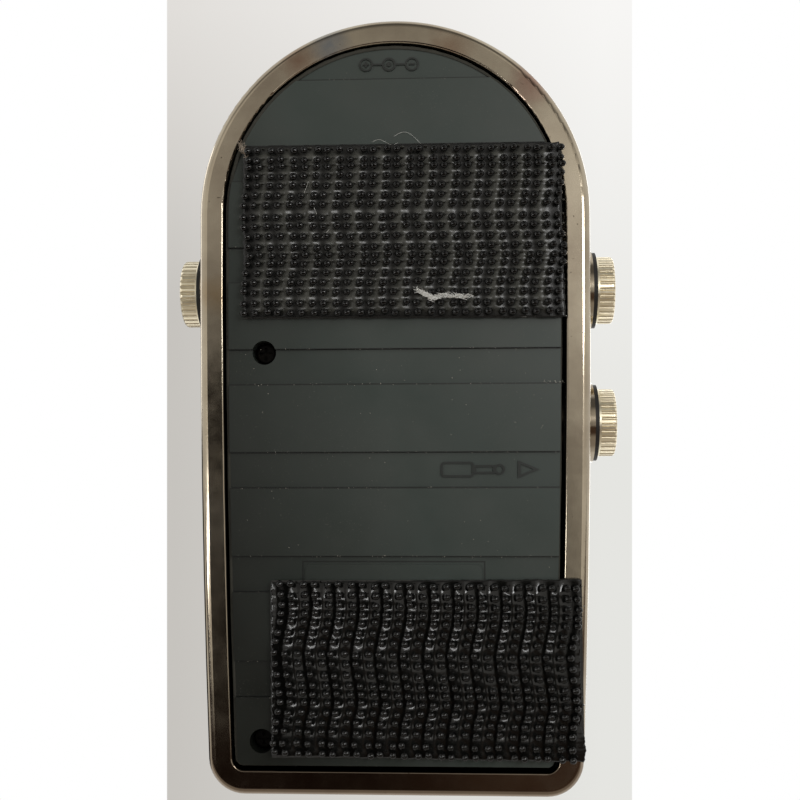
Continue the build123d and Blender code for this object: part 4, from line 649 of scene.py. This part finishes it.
def crumbs(name, spots, low, sizes, material):
    """Dust grains: small octahedra whose six points are jogged, one at every spot (x, y) in mm, hung from low."""
    count = len(spots)
    corners = np.array([(1, 0, 0), (0, 1, 0), (-1, 0, 0), (0, -1, 0), (0, 0, 1), (0, 0, -1)], float)
    faces = np.array([(0, 1, 4), (1, 2, 4), (2, 3, 4), (3, 0, 4), (1, 0, 5), (2, 1, 5), (3, 2, 5), (0, 3, 5)])
    shape = corners[None] * sizes[:, None, None] * random.uniform(0.5, 1.3, (count, 6, 1))
    shape[..., :2] += spots[:, None, :]
    shape[..., 2] = low - np.abs(shape[..., 2]) * 0.7
    points, quads = many(6, [faces], shape)
    return piece(name, points * MM, quads, material, "case", smooth=False)


def packed_gap():
    """Dirt packed in the gap round the bottom plate: a closed profile carried round the plate's outline.

    The outline is the plate's farthest point in each direction. Each point is pushed out along the mean of its
    two edges' normals, by more on the toe end and on the player's right. It lies deeper beside the channels."""
    plate = nodes["bottom_plate"]
    corners = np.empty(len(plate.data.vertices) * 3, dtype=np.float32)
    plate.data.vertices.foreach_get("co", corners)
    turn = np.linspace(0, 2 * np.pi, 2400, endpoint=False)
    flat = corners.reshape(-1, 3)[:, :2].astype(float) / MM
    farthest = np.argmax(np.stack([np.cos(turn), np.sin(turn)], -1) @ flat.T, axis=1)
    ring = flat[farthest[farthest != np.roll(farthest, 1)]]
    ring = ring[np.linalg.norm(ring - np.roll(ring, 1, 0), axis=1) > 0.05]
    edge = np.roll(ring, -1, 0) - ring
    out = np.stack([edge[:, 1], -edge[:, 0]], -1) / np.linalg.norm(edge, axis=1, keepdims=True)
    out = out + np.roll(out, 1, 0)
    out /= np.linalg.norm(out, axis=1, keepdims=True)
    wide = DIRT_WIDTH + out @ DIRT_WIDER
    wide += 0.04 * np.sin(np.arange(len(ring)) * 1.7)
    flat = ring[:, None, :] + (out * wide[:, None])[:, None, :] * DIRT_SHARE[None, :, None]
    deep = np.interp(ring[:, 1], *DIRT_DEEPER)[:, None]
    tall = DIRT_HEIGHT[None] + deep * (DIRT_HEIGHT < 4.0)[None]
    shape = np.concatenate([flat, tall[..., None]], -1)
    shape = np.concatenate([shape, shape[:1]])
    dirt = moulded("dirt_packed_grey", "#34332C", 0.8, 0.5, 0.05, "#201F1A", 0.5)
    faces = grid_faces(len(ring) + 1, len(DIRT_SHARE), True)
    piece("gap_dirt", shape.reshape(-1, 3) * MM, faces, dirt, "case")


packed_gap()
white_lint = fibre_dust("cotton_lint_white", "#F6FAFA")
brown_lint = fibre_dust("cotton_lint_brown", "#8C7258")
fluff_spine = [(-4.8, 21.0), (-6.6, 20.2), (-7.6, 19.6), (-9.2, 20.0), (-12.0, 19.9), (-14.4, 20.0)]
strands("white_fluff", tangle(fluff_spine, 130, 2.6, 0.28, 0.06, 0.30), 0.055, white_lint)
strands("corner_lint", tangle([(29.7, 50.4), (29.0, 48.8), (28.2, 47.2)], 26, 2.2, 0.5, 0.9, 1.6), 0.035, brown_lint)
# Two hairs above the toe strip, each a run of straight steps plus a sine wave
t = np.linspace(0, 1, 24)
hair = np.stack([-0.2 - 5.4 * t, 51.6 + 1.3 * np.sin(t * 3.6) - 1.2 * t, np.full(24, 2.7)], -1)
thread = np.stack([4.0 - 5.0 * t, 50.2 + 0.5 * np.sin(t * 6), 1.5 + 0.3 * t], -1)
strands("loose_hairs", np.stack([hair, thread]), 0.03, white_lint)
# Short straight fibres caught on the toe strip, and the bright cut edge at its corner
short = np.linspace(0, 1, 8)[:, None]
nicks = np.array([[(16.2, 42.4), (17.0, 40.2)], [(15.4, 38.0), (14.6, 36.0)], [(12.2, 33.0), (13.6, 31.4)]])
nick_paths = nicks[:, None, 0] * (1 - short) + nicks[:, None, 1] * short
nick_paths = np.concatenate([nick_paths, np.full((len(nicks), 8, 1), 0.3)], -1)
strands("short_fibres", nick_paths, 0.03, white_lint)
edge_path = np.stack([np.linspace(-21.0, -33.2, 12), np.linspace(16.05, 16.2, 12), np.full(12, 2.2)], -1)
strands("tape_edge", edge_path[None], 0.06, white_lint)
# Dust lies along the channels' edges, in a patch beside the toe strip's channel and here and there on the plate
step_lines = STEP_Y - STEP_PITCH * np.arange(-1, 4)
step_lines = np.concatenate([step_lines, step_lines + STEP_WIDTH])
loose = np.stack([random.uniform(-31, 30, 150), random.choice(step_lines, 150) + random.normal(0, 0.12, 150)], -1)
tidemark = np.stack([random.uniform(-32.8, -28.6, 34), 3.65 + random.normal(0, 0.12, 34)], -1)
scatter = np.stack([random.uniform(-30, 29, 60), random.uniform(-32, 13, 60)], -1)
spots = np.concatenate([loose, tidemark, scatter])
sizes = random.uniform(0.03, 0.085, len(spots))
crumbs("dust_crumbs", spots, DUST_LEVEL, sizes, fibre_dust("plaster_dust", "#C9C5BA"))


# ---- camera, floor, world and lamps --------------------------------------------------------------

# The camera looks up at the underside from a little towards the heel and the player's left side
EYE = (-12.1 * MM, -11.5 * MM, -224.2 * MM)
EYE_TURN = (-177.0457, -2.7582, -179.8247)
LENS = 53.27

camera_data = bpy.data.cameras.new("camera")
camera_data.sensor_width = 36.0
camera_data.lens = LENS
camera_data.clip_start, camera_data.clip_end = 0.01, 10.0
camera = bpy.data.objects.new("camera", camera_data)
camera.location = EYE
camera.rotation_euler = [math.radians(angle) for angle in EYE_TURN]
bpy.context.scene.collection.objects.link(camera)
bpy.context.scene.camera = camera


def lamp(name, place, size, power, target=(0, 0, 0)):
    """A soft rectangular white lamp that faces a target."""
    data = bpy.data.lights.new(name, "AREA")
    data.shape = "RECTANGLE"
    data.size, data.size_y = size
    data.energy = power
    made = bpy.data.objects.new(name, data)
    made.location = place
    toward = np.subtract(target, place)
    made.rotation_euler = Vector(toward).to_track_quat("-Z", "Y").to_euler()
    bpy.context.scene.collection.objects.link(made)
    return made


# Two panels light the treadle from above. Below, two windows give the rim and the hooks their bright lines,
# and the sky lights the plate without a mirror image of its own
lamp("ceiling_panel", (-0.25, 0.10, 0.90), (0.7, 0.7), 3.0, (0, 0, 0.03))
lamp("side_panel", (0.8, 0.25, 0.5), (0.5, 0.5), 1.5, (0, 0, 0.03))
lamp("window", (-0.23, 0.12, -0.50), (0.09, 0.16), 0.62)
lamp("far_window", (0.44, -0.08, -0.52), (0.03, 0.46), 0.50)
sky = lamp("sky", (-0.18, 0.24, -0.28), (0.20, 0.16), 0.34)
sky.visible_glossy = False


def pale_floor():
    """A pale laminate table top, seen only from above. From below it lets the view through."""
    made = bpy.data.materials.new("laminate_pale")
    made.use_nodes = True
    tree = made.node_tree
    tree.nodes.clear()
    skin = add(tree, "ShaderNodeBsdfDiffuse", {"Color": colour("#E9E7E3")}).outputs[0]
    clear = add(tree, "ShaderNodeBsdfTransparent").outputs[0]
    below = add(tree, "ShaderNodeNewGeometry").outputs["Backfacing"]
    mixed = add(tree, "ShaderNodeMixShader", {0: below, 1: skin, 2: clear}).outputs[0]
    add(tree, "ShaderNodeOutputMaterial", {"Surface": mixed})
    return made


# Half the floor's side in metres, and how far it lies below the pedal in mm
FLOOR_REACH, FLOOR_DROP = 1.6, 0.3
floor_points = np.array([(-1, -1), (1, -1), (1, 1), (-1, 1)]) * FLOOR_REACH
floor_mesh = bpy.data.meshes.new("floor")
floor_mesh.from_pydata(np.column_stack([floor_points, np.full(4, -FLOOR_DROP * MM)]).tolist(), [], [(0, 1, 2, 3)])
floor_mesh.materials.append(pale_floor())
floor = bpy.data.objects.new("floor", floor_mesh)
bpy.context.scene.collection.objects.link(floor)
for kind in ("diffuse", "glossy", "transmission", "shadow"):
    setattr(floor, f"visible_{kind}", False)


def seen_table(tree, where):
    """The view straight past the pedal: a pale sheet with painted shade that deepens to the left and down the view,
    white beyond its long edges.
    """
    right, up, back = [tuple(axis) for axis in camera.rotation_euler.to_matrix().transposed()]
    across, along = dot(tree, where, right), dot(tree, where, up)
    ahead = dot(tree, where, tuple(-part for part in back))
    u, v = sums(tree, "DIVIDE", across, ahead), sums(tree, "DIVIDE", along, ahead)
    # Painted shade on the table: greyer to the left and lower in the view
    left = blend_colours(tree, span(tree, v, 0.08, 0.33), colour("#C6C3BE"), colour("#E1DEDA"))
    light = blend_colours(tree, span(tree, v, -0.05, 0.33), colour("#E5E5E1"), colour("#F7F6F4"))
    outside = sums(tree, "MAXIMUM", span(tree, u, 0.1957, 0.1963), span(tree, u, -0.1965, -0.1971))
    table = blend_colours(tree, span(tree, u, -0.19, 0.17), left, light)
    return layered(tree, table, [(outside, "#FFFFFF")])


def mirrored_room(tree, where):
    """The room all round, for light and mirror images, by how far (a, b) a direction leans per unit of fall.

    Walls are bright towards the toe and the player's left, the viewer's dark shape stands from the middle to
    the player's right and the heel, and the pale table lies behind the pedal and past the heel."""
    x, y, z = parts_of(tree, where)
    fall = sums(tree, "MAXIMUM", sums(tree, "MULTIPLY", z, -1.0), 0.05)
    a, b = sums(tree, "DIVIDE", x, fall), sums(tree, "DIVIDE", y, fall)

    def over(value, low, high):
        return span(tree, value, low, high)

    window = product(tree, over(b, 0.02, 0.15), over(a, -0.04, -0.08))
    beside = sums(tree, "MAXIMUM", over(a, 0.27, 0.34), over(a, -0.115, -0.150))
    body = product(tree, over(b, 0.16, 0.08), over(a, -0.08, 0.06))
    lap = product(tree, over(b, 0.00, -0.10), over(a, -0.096, -0.078))
    viewer = product(tree, sums(tree, "MAXIMUM", body, lap), over(a, 0.31, 0.26))
    walls = blend_colours(tree, over(b, -0.05, 0.18), colour("#96938C"), colour("#B4B0AA"))
    layers = [
        (window, "#F2F0EA"),
        (over(b, 0.30, 0.36), "#A29E97"),  # the wall over the window
        (beside, "#E0DCD4"),  # pale walls on both sides
        (over(b, 0.50, 1.00), "#6C6A66"),  # the far wall past the toe
        (over(size_of(tree, a), 0.8, 2.0), "#E8E6E0"),  # light low on both sides
        (viewer, "#181410"),
    ]
    close = layered(tree, walls, layers)
    heel = blend_colours(tree, over(a, 0.06, -0.07), colour("#221813"), colour("#564438"))
    close = blend_colours(tree, over(b, -0.17, -0.24), close, heel)
    table_past_heel = over(b, -0.62, -0.95)
    level = product(tree, over(z, -0.32, -0.06), span(tree, y, -1.0, -0.7, 0.55, 1.0))
    level = sums(tree, "MAXIMUM", level, over(z, 0.0, 0.12))
    pedal_shadow = product(tree, over(x, 0.10, 0.22), over(z, 0.12, 0.34), over(size_of(tree, y), 0.45, 0.30))
    return layered(tree, close, [(table_past_heel, "#A79F95"), (level, "#F0EFEC"), (pedal_shadow, "#2E2822")])


def room():
    """The world: the camera sees the table, and everything else is lit by the room and mirrors it."""
    world = bpy.data.worlds.new("room")
    bpy.context.scene.world = world
    world.use_nodes = True
    tree = world.node_tree
    tree.nodes.clear()
    where = add(tree, "ShaderNodeTexCoord").outputs["Generated"]
    seen_straight = add(tree, "ShaderNodeLightPath").outputs["Is Camera Ray"]
    both = blend_colours(tree, seen_straight, mirrored_room(tree, where), seen_table(tree, where))
    shown = add(tree, "ShaderNodeBackground", {"Color": both}).outputs[0]
    add(tree, "ShaderNodeOutputWorld", {"Surface": shown})


room()
bpy.context.scene.view_settings.view_transform = "Standard"
